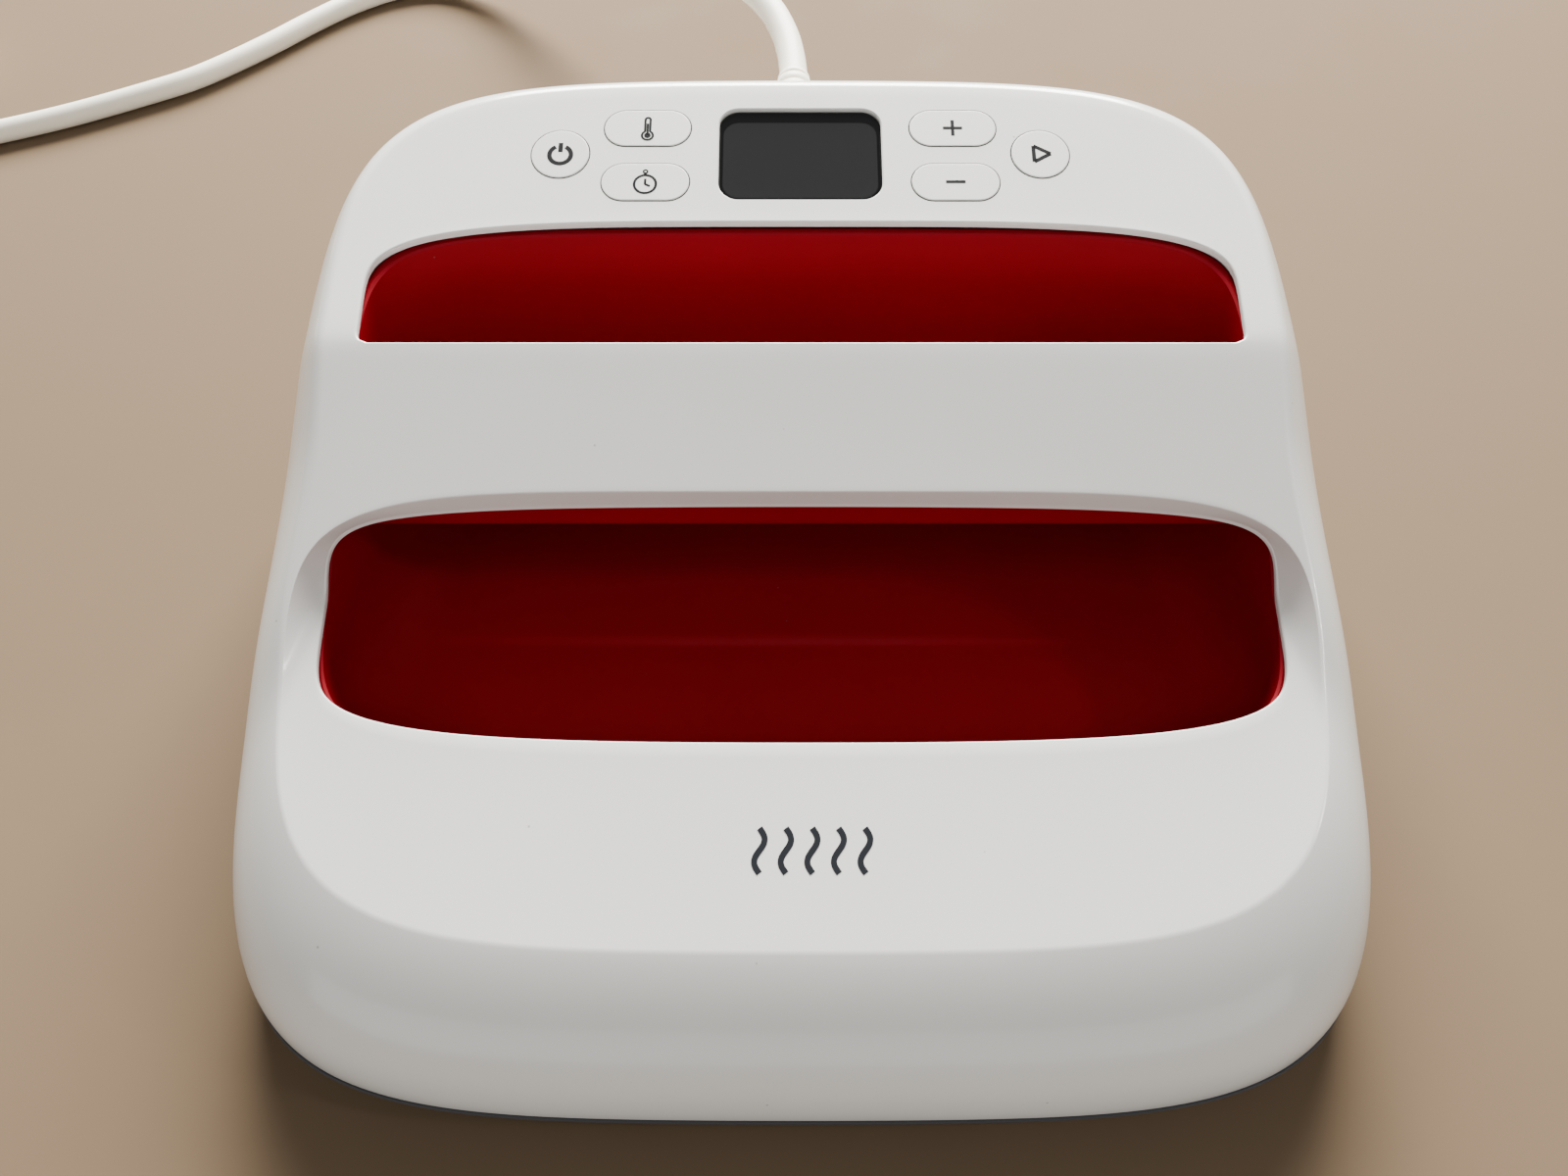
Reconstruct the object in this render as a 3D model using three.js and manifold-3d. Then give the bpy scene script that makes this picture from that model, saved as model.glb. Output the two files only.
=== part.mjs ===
// A hand-held square heat press with a glossy white shell, a red hand well and a heated plate beneath.
// Units are millimetres, +Z is up, +Y is the rear, and the plate's face is the plane Z = 0.
import * as THREE from 'three';
import { mergeVertices } from 'three/addons/utils/BufferGeometryUtils.js';
import Module from 'manifold-3d';

const wasm = await Module();
wasm.setup();

// ---- driving dimensions ----
const gap = 0.3;                    // clearance between neighbouring pieces
const wall = 2.4;                   // shell thickness
const base = { a: 135, b: 132.8, y: 0, z: 12, power: 5, bow: 3 };      // lower edge of the shell
const ridge = { a: 111.5, flare: 4.8, b: 99.3, y: -7.8, power: 5, bow: 2.5 };    // top face's edge
const skirtStart = THREE.MathUtils.degToRad(18);                       // where the skirt's arc begins
const panel = { rearY: 91.5, rearZ: 115.1, slope: 0.2623 };            // control panel plane
const bar = { frontY: -13, frontZ: 79.3, rearY: 18, slope: 0.532 };    // handle bar's top plane
const apron = { y: -64, z: 55, slope: 0.231 };                         // front face plane
const frontOpening = { a: 109.5, b: 25.6, y: -38.6, power: 4.2, bow: 0.5 };
const rearOpening = { a: 103, b: 30.2, y: 18, power: 4.5, bow: 0.5 };
const well = { a: 103.2, flare: 6.3, b: 56.2, y: -8, power: 7, bow: 0.8, floorZ: 30, thick: 2, inset: 6 };
const flange = { frontZ: 72.8, rearDepth: 6, thick: 2.2, halfLength: 94 };
const cover = { halfLength: 99, frontZ: 64, bellyZ: 62, thick: 2 };
const rim = { bottomZ: 5, web: [23, 25], wallInner: 115.3, wallOuter: 117.5, corner: 21 };
const plate = { side: 228, corner: 20, thick: 8 };
const element = { tube: 6.6, reach: 88, pitch: 29, tailX: 20, tailY: 98, topZ: 31 };
const insulation = { side: 222, z: [16.4, 19.4] };
const shield = { side: 224, z: [19.8, 20.8] };
const spacer = { r: 5, at: 97, z: [8.3, 22.7] };
const notch = { x: 30, y: [84, 112] };                                 // cut-out for the element's tails
const windowSize = { w: 39.5, h: 26.5, r: 4, y: -0.85, recess: 1.0, thick: 1.4 };
const buttonTravel = 0.8;
const buttonProud = 0.3;
const capDepth = 4;                 // cap underside below the panel face
const holeGap = 0.35;
const buttons = [
  { name: 'power_button', x: -59, y: -0.8, w: 14.2, h: 14.2 },
  { name: 'temperature_button', x: -37.8, y: 7.1, w: 21.4, h: 10.8 },
  { name: 'timer_button', x: -37.8, y: -9.2, w: 21.4, h: 10.8 },
  { name: 'plus_button', x: 37.8, y: 7.1, w: 21.4, h: 10.8 },
  { name: 'minus_button', x: 37.8, y: -9.2, w: 21.4, h: 10.8 },
  { name: 'start_button', x: 59, y: -0.8, w: 14.2, h: 14.2 },
];
const board = { w: 150, h: 32, y: 1.5, top: -9.2, thick: 1.6 };
const powerBoard = { w: 150, y: [60, 104], z: 36, thick: 1.6, postX: 66 };
const screwSpots = [[125.5, 0], [-125.5, 0], [62, 123.5], [-62, 123.5], [62, -123.5], [-62, -123.5]];
const wellSpots = [[80, -44], [-80, -44], [80, 30], [-80, 30]];
const exit = { x: -1, y: 152, z: 78 };                                 // where the cord leaves its boot
const cordD = 8.6;
const coil = { x: -398, y: 258, inner: 44, outer: 52.8, height: 26.2, lift: 1.2 };   // radii of its turns
const tie = { thick: 0.8, width: 12 };

const colours = {
  white: { color: 0xe9e9e6, roughness: 0.28, metalness: 0 },
  red: { color: 0x5e000c, roughness: 0.5, metalness: 0 },
  grey: { color: 0x3a3b3d, roughness: 0.55, metalness: 0 },
  coated: { color: 0x2b2b2d, roughness: 0.4, metalness: 0.5 },
  steel: { color: 0x9a9c9e, roughness: 0.35, metalness: 1 },
  mat: { color: 0xcfc7b2, roughness: 0.95, metalness: 0 },
  glass: { color: 0x1c1d1f, roughness: 0.08, metalness: 0 },
  board: { color: 0x1d5a35, roughness: 0.6, metalness: 0 },
  black: { color: 0x18181a, roughness: 0.6, metalness: 0 },
  rubber: { color: 0xe2e0da, roughness: 0.55, metalness: 0 },
  brass: { color: 0xb59a55, roughness: 0.35, metalness: 1 },
};

const press = new THREE.Group();

function addMesh(name, geometry, finish, parent = press) {
  const mesh = new THREE.Mesh(geometry, new THREE.MeshStandardMaterial(colours[finish]));
  mesh.name = name;
  parent.add(mesh);
  return mesh;
}

// ---- solids ----
function toSolid(geometry) {
  const bare = geometry.clone();
  bare.deleteAttribute('normal');
  bare.deleteAttribute('uv');
  const merged = mergeVertices(bare, 1e-4);
  return new wasm.Manifold(new wasm.Mesh({
    numProp: 3,
    vertProperties: new Float32Array(merged.attributes.position.array),
    triVerts: new Uint32Array(merged.index.array),
  }));
}

function toGeometry(solid) {
  const mesh = solid.getMesh();
  const geometry = new THREE.BufferGeometry();
  geometry.setAttribute('position', new THREE.BufferAttribute(new Float32Array(mesh.vertProperties), 3));
  geometry.setIndex(new THREE.BufferAttribute(new Uint32Array(mesh.triVerts), 1));
  return geometry;
}

function box(x0, x1, y0, y1, z0, z1) {
  const geometry = new THREE.BoxGeometry(x1 - x0, y1 - y0, z1 - z0);
  return geometry.translate((x0 + x1) / 2, (y0 + y1) / 2, (z0 + z1) / 2);
}

// A disc of radius r about the Z axis, from z0 to z1.
function disc(r, z0, z1, x = 0, y = 0, sides = 20) {
  return new THREE.CylinderGeometry(r, r, z1 - z0, sides).rotateX(Math.PI / 2).translate(x, y, (z0 + z1) / 2);
}

// A closed profile of [radius, z] points turned about the Z axis.
function turned(profile, sides = 20) {
  const points = profile.map(([r, z]) => new THREE.Vector2(r, z));
  return new THREE.LatheGeometry(points, sides).rotateX(Math.PI / 2);
}

function roundedRect(w, h, r) {
  const shape = new THREE.Shape();
  const x = w / 2 - r;
  const y = h / 2 - r;
  shape.moveTo(x, -h / 2);
  shape.absarc(x, -y, r, -Math.PI / 2, 0, false);
  shape.absarc(x, y, r, 0, Math.PI / 2, false);
  shape.absarc(-x, y, r, Math.PI / 2, Math.PI, false);
  shape.absarc(-x, -y, r, Math.PI, Math.PI * 1.5, false);
  return shape;
}

function slab(w, h, r, z0, z1, arcSteps = 4) {
  const options = { depth: z1 - z0, bevelEnabled: false, curveSegments: arcSteps };
  return new THREE.ExtrudeGeometry(roundedRect(w, h, r), options).translate(0, 0, z0);
}

// A point on a superellipse whose front and rear bow outwards. The parameter s runs from 0 to 1
// anticlockwise from the front centre, evenly round a square, so that opposite sides share their Y.
function squareDirection(s) {
  const t = ((s % 1) + 1) % 1 * 8;
  if (t <= 1) return [t, -1];
  if (t <= 3) return [1, t - 2];
  if (t <= 5) return [4 - t, 1];
  if (t <= 7) return [-1, 6 - t];
  return [t - 8, -1];
}

function loopPoint(s, loop, inset = 0, a = loop.a) {
  const [u, v] = squareDirection(s);
  const reach = (Math.abs(u) ** loop.power + Math.abs(v) ** loop.power) ** (-1 / loop.power);
  const [p, q] = [reach * u, reach * v];
  return [(a - inset) * p, loop.y + (loop.b - inset) * q - loop.bow * p * p * q * q * q];
}

function loopPrism(loop, z0, z1, steps) {
  const points = [];
  for (let i = 0; i < steps; i++) points.push(new THREE.Vector2(...loopPoint(i / steps, loop)));
  const depth = z1 - z0;
  const outline = new THREE.Shape(points);
  return new THREE.ExtrudeGeometry(outline, { depth, bevelEnabled: false }).translate(0, 0, z0);
}

// Height of the top face: the panel plane, the handle's plane and the apron's plane, blended.
function smoothMax(p, q, k) {
  return (p + q + Math.sqrt((p - q) ** 2 + k * k)) / 2;
}

function topHeight(y) {
  const onPanel = panel.rearZ - panel.slope * (panel.rearY - y);
  const onBar = bar.frontZ + bar.slope * (y - bar.frontY);
  const onApron = apron.z + apron.slope * (y - apron.y);
  return smoothMax(onApron, -smoothMax(-onPanel, -onBar, 0.6), 2.5);
}

function ridgePoint(s, inset) {
  const [, y] = loopPoint(s, ridge, inset);
  const flareShare = THREE.MathUtils.smoothstep(-y, 0, 45);
  const [x] = loopPoint(s, ridge, inset, ridge.a + ridge.flare * flareShare);
  return [x, y, topHeight(y) - inset];
}

// Closes a stack of loops, each with the same number of points, into one body. The two end loops are
// capped by strips from side to side, because both ends of a strip have the same Y.
function loftLoops(loops) {
  const n = loops[0].length;
  const positions = loops.flat(2);
  const index = [];
  for (let row = 0; row + 1 < loops.length; row++) {
    for (let i = 0; i < n; i++) {
      const j = (i + 1) % n;
      const [p, q, r, t] = [row * n + i, row * n + j, (row + 1) * n + i, (row + 1) * n + j];
      index.push(p, r, q, q, r, t);
    }
  }
  const cap = (offset, up) => {
    const face = (p, q, r) => index.push(offset + p, offset + (up ? q : r), offset + (up ? r : q));
    for (let i = 0; i < n / 2; i++) {
      const [left, nextLeft] = [(n - i) % n, n - i - 1];
      if (i > 0) face(i, i + 1, left);
      if (i + 1 < n / 2) face(i + 1, nextLeft, left);
    }
  };
  cap(0, true);
  cap((loops.length - 1) * n, false);
  const geometry = new THREE.BufferGeometry();
  geometry.setAttribute('position', new THREE.BufferAttribute(new Float32Array(positions), 3));
  geometry.setIndex(index);
  return geometry;
}

// The body under the shell's surface, moved inwards by inset. The skirt is an arc of an ellipse.
function bodyUnder(inset, bottomZ, steps = 56, rows = 5) {
  const loops = [];
  for (let row = 0; row <= rows; row++) {
    const angle = skirtStart + (Math.PI / 2 - skirtStart) * (row / rows);
    const out = (Math.sin(angle) - Math.sin(skirtStart)) / (1 - Math.sin(skirtStart));
    const down = (Math.cos(skirtStart) - Math.cos(angle)) / Math.cos(skirtStart);
    const loop = [];
    for (let i = 0; i < steps; i++) {
      const [x, y, z] = ridgePoint(i / steps, inset);
      const [bx, by] = loopPoint(i / steps, base, inset);
      loop.push([x + (bx - x) * out, y + (by - y) * out, z + (bottomZ - z) * down]);
    }
    loops.push(loop);
  }
  return toSolid(loftLoops(loops));
}

const outerBody = bodyUnder(0, base.z);
const innerBody = bodyUnder(wall, base.z - 1);

// ---- the control panel's own frame ----
const tilt = Math.atan(panel.slope);
const panelGroup = new THREE.Group();
panelGroup.position.set(0, 70, topHeight(70));
panelGroup.rotation.x = tilt;
press.add(panelGroup);

function onPanel(geometry) {
  return geometry.rotateX(tilt).translate(0, panelGroup.position.y, panelGroup.position.z);
}

// ---- shell ----
function topShell() {
  let shell = outerBody.subtract(innerBody);
  for (const opening of [frontOpening, rearOpening]) {
    shell = shell.subtract(toSolid(loopPrism(opening, 20, 140, 48)));
  }
  const barFront = box(-101, 101, bar.frontY, bar.frontY + 4, 60, 90);
  const barBack = box(-97, 97, bar.rearY - 4, bar.rearY, 80, 110);
  const barSlab = toSolid(box(-104, 104, bar.frontY, bar.rearY, 60, 110));
  shell = shell.add(outerBody.subtract(innerBody).intersect(barSlab));
  for (const [strip, y0, y1, z0] of [
    [barFront, bar.frontY, bar.frontY + flange.thick, flange.frontZ],
    [barBack, bar.rearY - flange.thick, bar.rearY, topHeight(bar.rearY) - flange.rearDepth],
  ]) {
    const cut = toSolid(box(-flange.halfLength, flange.halfLength, y0, y1, z0, 120));
    shell = shell.add(toSolid(strip).intersect(cut).intersect(outerBody));
  }
  for (const [x, y] of screwSpots) {
    shell = shell.add(toSolid(disc(3.8, base.z, 100, x, y, 12)).intersect(outerBody));
    shell = shell.subtract(toSolid(disc(1.8, base.z - 1, 32, x, y, 10)));
  }
  for (const { x, y, w, h } of buttons) {
    const hole = slab(w + 2 * holeGap, h + 2 * holeGap, h / 2 + holeGap, -6, 3);
    shell = shell.subtract(toSolid(onPanel(hole.translate(x, y, 0))));
  }
  const { w, h, r, y } = windowSize;
  shell = shell.subtract(toSolid(onPanel(slab(w, h, r, -6, 3).translate(0, y, 0))));
  const bootHole = disc(6.6, -20, 20, 0, 0, 20).rotateX(Math.PI / 2).translate(exit.x, 120, exit.z);
  return shell.subtract(toSolid(bootHole));
}
addMesh('top_shell', toGeometry(topShell()), 'white');

// ---- hand well and handle ----
// A level loop of the well's wall. Its top loop follows the shell's underside.
function wellLoop(inset, level, steps = 56) {
  const loop = [];
  for (let i = 0; i < steps; i++) {
    const [, y] = loopPoint(i / steps, well, inset);
    const flareShare = THREE.MathUtils.smoothstep(-y, -25, 36);
    const [x] = loopPoint(i / steps, well, inset, well.a + well.flare * flareShare);
    const underShell = topHeight(y) - wall - 2 * gap;
    loop.push([x, y, level === 'rim' ? underShell : level === 'above' ? underShell + 5 : level]);
  }
  return loop;
}

function handWell() {
  const { floorZ, thick, inset } = well;
  const outside = toSolid(loftLoops([
    wellLoop(-thick, 'rim'), wellLoop(-thick, 49), wellLoop(inset - thick, floorZ + 4),
    wellLoop(inset + 2, floorZ - thick),
  ]));
  const inside = toSolid(loftLoops([
    wellLoop(0, 'above'), wellLoop(0, 49), wellLoop(inset, floorZ + 4), wellLoop(inset + 4, floorZ),
  ]));
  let tub = outside.subtract(inside);
  for (const [x, y] of wellSpots) {
    tub = tub.add(toSolid(disc(4, rim.web[1] + gap, floorZ - thick + 0.5, x, y, 12)));
    tub = tub.subtract(toSolid(disc(1.8, rim.web[1], floorZ - 0.6, x, y, 10)));
  }
  return tub;
}
addMesh('hand_well', toGeometry(handWell()), 'red');

// A U-shaped channel that closes the handle from below, open towards the bar.
function handleLowerCover() {
  const y0 = bar.frontY + flange.thick + gap;
  const y1 = bar.rearY - flange.thick - gap;
  const { thick, frontZ, bellyZ, halfLength } = cover;
  const drop = wall + 2 * gap;
  const outline = new THREE.Shape([
    [y0, topHeight(y0) - drop], [y0, frontZ + 2], [y0 + 2.5, bellyZ], [y1 - 6, bellyZ + 1.5],
    [y1, bellyZ + 8], [y1, topHeight(y1) - drop],
    [y1 - thick, topHeight(y1 - thick) - drop], [y1 - thick, bellyZ + 9], [y1 - 7, bellyZ + 3.5],
    [y0 + 3.5, bellyZ + thick],
    [y0 + thick, frontZ + 3], [y0 + thick, topHeight(y0) - drop],
  ].map(([y, z]) => new THREE.Vector2(y, z)));
  const length = { depth: 2 * halfLength, bevelEnabled: false };
  const channel = new THREE.ExtrudeGeometry(outline, length);
  channel.rotateX(Math.PI / 2).rotateZ(Math.PI / 2).translate(-halfLength, 0, 0);
  return channel;
}
addMesh('handle_lower_cover', handleLowerCover(), 'red');

// ---- lower housing and the heated plate ----
function bottomHousing() {
  const { bottomZ, web, wallInner, wallOuter, corner } = rim;
  const ringLoops = [[0, base.z - gap], [0.4, base.z - 3], [2.6, bottomZ]].map(([inset, z]) => {
    const loop = [];
    for (let i = 0; i < 56; i++) loop.push([...loopPoint(i / 56, base, inset), z]);
    return loop;
  });
  let housing = toSolid(loftLoops(ringLoops));
  housing = housing.add(toSolid(slab(2 * wallOuter, 2 * wallOuter, corner + 2, base.z - 2, web[1])));
  housing = housing.subtract(toSolid(slab(2 * wallInner, 2 * wallInner, corner, 0, web[0])));
  housing = housing.subtract(toSolid(box(-notch.x, notch.x, notch.y[0], notch.y[1], 20, 30)));
  for (const [x, y] of screwSpots) {
    housing = housing.subtract(toSolid(disc(1.8, 0, 20, x, y, 10)));
    housing = housing.subtract(toSolid(disc(3.6, 0, bottomZ + 2.6, x, y, 12)));
  }
  for (const [x, y] of wellSpots) housing = housing.subtract(toSolid(disc(1.8, 20, 30, x, y, 10)));
  for (const x of [-powerBoard.postX, powerBoard.postX]) {
    for (const y of powerBoard.y.map((edge, k) => edge + (k ? -5 : 5))) {
      housing = housing.add(toSolid(disc(3, web[0] + 1, powerBoard.z - gap, x, y, 10)));
    }
  }
  return housing;
}
addMesh('bottom_housing', toGeometry(bottomHousing()), 'grey');

addMesh('heat_plate', slab(plate.side, plate.side, plate.corner, 0, plate.thick), 'coated');

// The tubular element lies in four passes on the plate, and both ends turn up at the rear.
function heatingElement() {
  const { tube, reach, pitch, tailX, tailY, topZ } = element;
  const z = plate.thick + 0.8 + tube / 2;
  const half = [[tailX, tailY, topZ], [tailX, tailY - 1, z + 6], [tailX, tailY - 8, z],
    [tailX + 20, reach - 6, z],
    [reach - 12, reach - 6, z], [reach, reach - 20, z], [reach, 0, z], [reach, -reach + 20, z],
    [reach - 14, -reach, z], [reach - pitch, -reach + 14, z], [reach - pitch, 0, z], [reach - pitch, 40, z],
    [reach - 1.5 * pitch, 54, z], [reach - 2 * pitch, 40, z], [reach - 2 * pitch, -20, z], [12, -44, z]];
  const mirrored = half.slice().reverse().map(([x, y, height]) => [-x, y, height]);
  const points = [...half, ...mirrored].map((p) => new THREE.Vector3(...p));
  const path = new THREE.CatmullRomCurve3(points, false, 'centripetal');
  return sweptTube(path, tube / 2, 72, 8);
}

function sweptTube(path, radius, steps, sides) {
  const section = new THREE.Shape();
  for (let i = 0; i < sides; i++) {
    const angle = (i / sides) * Math.PI * 2;
    section[i ? 'lineTo' : 'moveTo'](radius * Math.cos(angle), radius * Math.sin(angle));
  }
  return new THREE.ExtrudeGeometry(section, { steps, extrudePath: path, bevelEnabled: false });
}
addMesh('heating_element', heatingElement(), 'steel');

function drilledSheet(side, z) {
  let sheet = toSolid(slab(side, side, 18, z[0], z[1]));
  sheet = sheet.subtract(toSolid(box(-notch.x, notch.x, notch.y[0], side, z[0] - 1, z[1] + 1)));
  for (const [x, y] of corners(spacer.at)) {
    sheet = sheet.subtract(toSolid(disc(spacer.r + 0.6, z[0] - 1, z[1] + 1, x, y, 10)));
  }
  return sheet.subtract(toSolid(box(-8, 8, -8, 8, z[0] - 1, z[1] + 1)));
}

function corners(reach) {
  return [[reach, reach], [-reach, reach], [-reach, -reach], [reach, -reach]];
}

addMesh('plate_insulation', toGeometry(drilledSheet(insulation.side, insulation.z)), 'mat');
addMesh('heat_shield', toGeometry(drilledSheet(shield.side, shield.z)), 'steel');
for (const [i, [x, y]] of corners(spacer.at).entries()) {
  addMesh(`plate_spacer_${i + 1}`, disc(spacer.r, ...spacer.z, x, y, 16), 'mat');
}

// ---- sensing on the plate ----
addMesh('temperature_sensor', toGeometry(
  toSolid(box(-6, 6, -6, 6, plate.thick + gap, 12)).add(toSolid(disc(2.6, 11.5, 15, 0, 0, 12))),
), 'steel');
const fuse = turned([[0, -9], [2.6, -9], [2.6, 7], [1.2, 9], [0, 9]], 12).rotateY(Math.PI / 2);
addMesh('thermal_fuse', fuse.translate(0, 62, plate.thick + gap + 2.7), 'brass');

// ---- window, display, buttons and the control board on the panel ----
{
  const { w, h, r, y, recess, thick } = windowSize;
  const pane = slab(w - 2 * gap, h - 2 * gap, r - gap, -recess - thick, -recess).translate(0, y, 0);
  addMesh('display_window', pane, 'glass', panelGroup);
  const module = slab(w + 6, h + 4, 1.5, board.top + gap, -recess - thick - gap).translate(0, y, 0);
  const lip = slab(w - 2, h - 2, 1.5, -wall - 1.2, -recess - thick - gap).translate(0, y, 0);
  const body = toSolid(module).intersect(toSolid(box(-40, 40, -30, 30, -20, -wall - gap)));
  addMesh('display_module', toGeometry(body.add(toSolid(lip))), 'black', panelGroup);
}

function buttonCap(w, h) {
  const cap = toSolid(slab(w, h, h / 2, -capDepth, buttonProud));
  return cap.add(toSolid(slab(w + 2.4, h + 2.4, h / 2 + 1.2, -capDepth, -capDepth + 1)));
}

function tactileSwitch() {
  const bottom = board.top + gap;
  const top = -capDepth - buttonTravel - gap;
  return toSolid(box(-3, 3, -3, 3, bottom, top - 0.6)).add(toSolid(disc(1.7, top - 1, top, 0, 0, 10)));
}

for (const { name, x, y, w, h } of buttons) {
  addMesh(name, toGeometry(buttonCap(w, h)), 'white', panelGroup).position.set(x, y, 0);
  const switchName = name.replace('button', 'switch');
  addMesh(switchName, toGeometry(tactileSwitch()), 'black', panelGroup).position.set(x, y, 0);
}
addMesh('control_board', slab(board.w, board.h, 2, board.top - board.thick, board.top, 3)
  .translate(0, board.y, 0), 'board', panelGroup);

// ---- power electronics in the rear bay ----
{
  const [y0, y1] = powerBoard.y;
  const top = powerBoard.z + powerBoard.thick;
  const lift = top + gap;
  addMesh('power_board', box(-powerBoard.w / 2, powerBoard.w / 2, y0, y1, powerBoard.z, top), 'board');
  addMesh('transformer', box(-62, -34, y0 + 9, y1 - 11, lift, lift + 22), 'black');
  addMesh('relay', box(-28, -12, y0 + 8, y1 - 12, lift, lift + 15), 'grey');
  addMesh('filter_capacitor', disc(6, lift, lift + 18, 62, 82, 14), 'black');
  addMesh('terminal_block', box(-8, 14, y0 + 22, y1 - 4, lift, lift + 10), 'black');
  const comb = new THREE.Shape();
  comb.moveTo(22, lift);
  comb.lineTo(50, lift);
  for (let fin = 0; fin < 5; fin++) {
    comb.lineTo(50 - 6 * fin, lift + 20);
    comb.lineTo(47 - 6 * fin, lift + 20);
    if (fin < 4) {
      comb.lineTo(47 - 6 * fin, lift + 5);
      comb.lineTo(44 - 6 * fin, lift + 5);
    }
  }
  comb.lineTo(22, lift + 20);
  const sink = new THREE.ExtrudeGeometry(comb, { depth: 24, bevelEnabled: false });
  addMesh('triac_heatsink', sink.rotateX(Math.PI / 2).translate(0, y0 + 34, 0), 'steel');
  for (const [i, x] of [-element.tailX, element.tailX].entries()) {
    const lead = disc(1.5, element.topZ + gap, powerBoard.z - gap, x, element.tailY, 10);
    addMesh(`heater_lead_${i + 1}`, lead, 'rubber');
  }
}

// A flat ribbon joins the two boards in one loose bend.
{
  const bend = new THREE.CatmullRomCurve3([[0, 0, 95.8], [0, 0.5, 90], [0, 3, 70], [0, -2, 50], [0, -1, 38.4]]
    .map(([x, y, z]) => new THREE.Vector3(x - 70, y + 70, z)));
  const section = [[-0.4, -6], [0.4, -6], [0.4, 6], [-0.4, 6]];
  const across = new THREE.Shape(section.map((p) => new THREE.Vector2(...p)));
  const ribbon = new THREE.ExtrudeGeometry(across, { steps: 12, extrudePath: bend, bevelEnabled: false });
  addMesh('ribbon_cable', ribbon, 'rubber');
  const leadPoints = [[exit.x, 107.7, exit.z], [exit.x, 98, 77], [0, 91, 66], [3, 91, 48.4]];
  const lead = new THREE.CatmullRomCurve3(leadPoints.map((p) => new THREE.Vector3(...p)));
  addMesh('mains_lead', sweptTube(lead, 3.2, 12, 8), 'rubber');
}

// ---- strain relief, cord, coil, tie and plug ----
const boot = turned([[0, 0], [8, 0], [8, 2.6], [6.1, 2.8], [6.1, 30], [5.6, 33], [5.9, 34.4], [5.3, 37],
  [5.6, 38.4], [5, 41], [4.9, 44], [0, 44]], 16);
addMesh('strain_relief', boot.rotateX(-Math.PI / 2).translate(exit.x, exit.y - 44, exit.z), 'rubber');

const floorZ = cordD / 2 + 0.1;
const cordRoute = [
  [-1, 152.3, 78], [-1.6, 163, 78.2], [-3.6, 176, 78.6], [-8, 190, 79], [-16, 206, 78], [-28, 224, 74],
  [-43, 245, 65.5], [-60, 267, 54], [-78, 290, 41], [-97, 311, 28.5], [-117, 329, 17.5], [-138, 343, 9.5],
  [-160, 349, 5.4], [-180, 343.5, floorZ], [-197, 331, floorZ], [-211, 316, floorZ], [-224, 300, floorZ],
  [-237, 285.5, floorZ], [-250, 273, floorZ], [-264, 263.5, floorZ], [-290.5, 248, floorZ],
  [-316, 236, floorZ], [-346.5, 223, floorZ + 0.6],
];
addMesh('cord', sweptTube(new THREE.CatmullRomCurve3(cordRoute.map((p) => new THREE.Vector3(...p))),
  cordD / 2, 36, 10), 'rubber');

const coilTop = coil.lift + coil.height;
const coilInside = coil.inner - cordD / 2 - 0.3;
const coilOutside = coil.outer + cordD / 2 + 0.3;
const bevel = 2.5;
addMesh('cord_coil', turned([
  [coilInside + bevel, coil.lift], [coilOutside - bevel, coil.lift], [coilOutside, coil.lift + bevel],
  [coilOutside, coilTop - bevel], [coilOutside - bevel, coilTop], [coilInside + bevel, coilTop],
  [coilInside, coilTop - bevel], [coilInside, coil.lift + bevel], [coilInside + bevel, coil.lift],
], 28).translate(coil.x, coil.y, 0), 'rubber');

function cordTie() {
  const r0 = coilInside - gap;
  const r1 = coilOutside + gap;
  const [z0, z1] = [coil.lift - gap, coilTop + gap];
  const sleeve = toSolid(
    box(r0 - tie.thick, r1 + tie.thick, -tie.width / 2, tie.width / 2, z0 - tie.thick, z1 + tie.thick),
  );
  return sleeve.subtract(toSolid(box(r0 - 1.2, r1, -tie.width, tie.width, z0, z1)));
}
addMesh('cord_tie', toGeometry(cordTie()), 'black').position.set(coil.x, coil.y, 0);

// The last stretch leaves the coil on its far side and drops to the plug, which lies on the floor.
const tailStart = [coil.x - coilOutside - 5, coil.y + 2, 18];
const tailRoute = [[0, 0, 0], [-1.5, 14, -3.2], [-3, 28, -5.8], [-3, 42, -6.5]]
  .map(([x, y, z]) => new THREE.Vector3(tailStart[0] + x, tailStart[1] + y, tailStart[2] + z));
addMesh('cord_tail', sweptTube(new THREE.CatmullRomCurve3(tailRoute), cordD / 2, 6, 10), 'rubber');

const plugAt = new THREE.Vector3(tailStart[0] - 3, tailStart[1] + 43.4, 11.5);
function plugBody() {
  const sleeve = turned([[0, 0], [4.6, 0], [6.2, 20], [0, 20]], 16).rotateX(-Math.PI / 2);
  const block = slab(24, 21, 6, 18, 44, 4).rotateX(-Math.PI / 2);
  return toSolid(sleeve).add(toSolid(block));
}
addMesh('plug_body', toGeometry(plugBody()), 'rubber').position.copy(plugAt);
for (const [i, x] of [-6.35, 6.35].entries()) {
  const blade = box(x - 0.75, x + 0.75, 44.3, 62, 0, 6.3);
  addMesh(`plug_blade_${i + 1}`, blade, 'brass').position.copy(plugAt);
}
addMesh('earth_pin', turned([[0, 0], [2.4, 0], [2.4, 17], [1.2, 20], [0, 20]], 12).rotateX(-Math.PI / 2)
  .translate(0, 44.3, -5.5), 'brass').position.copy(plugAt);

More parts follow.
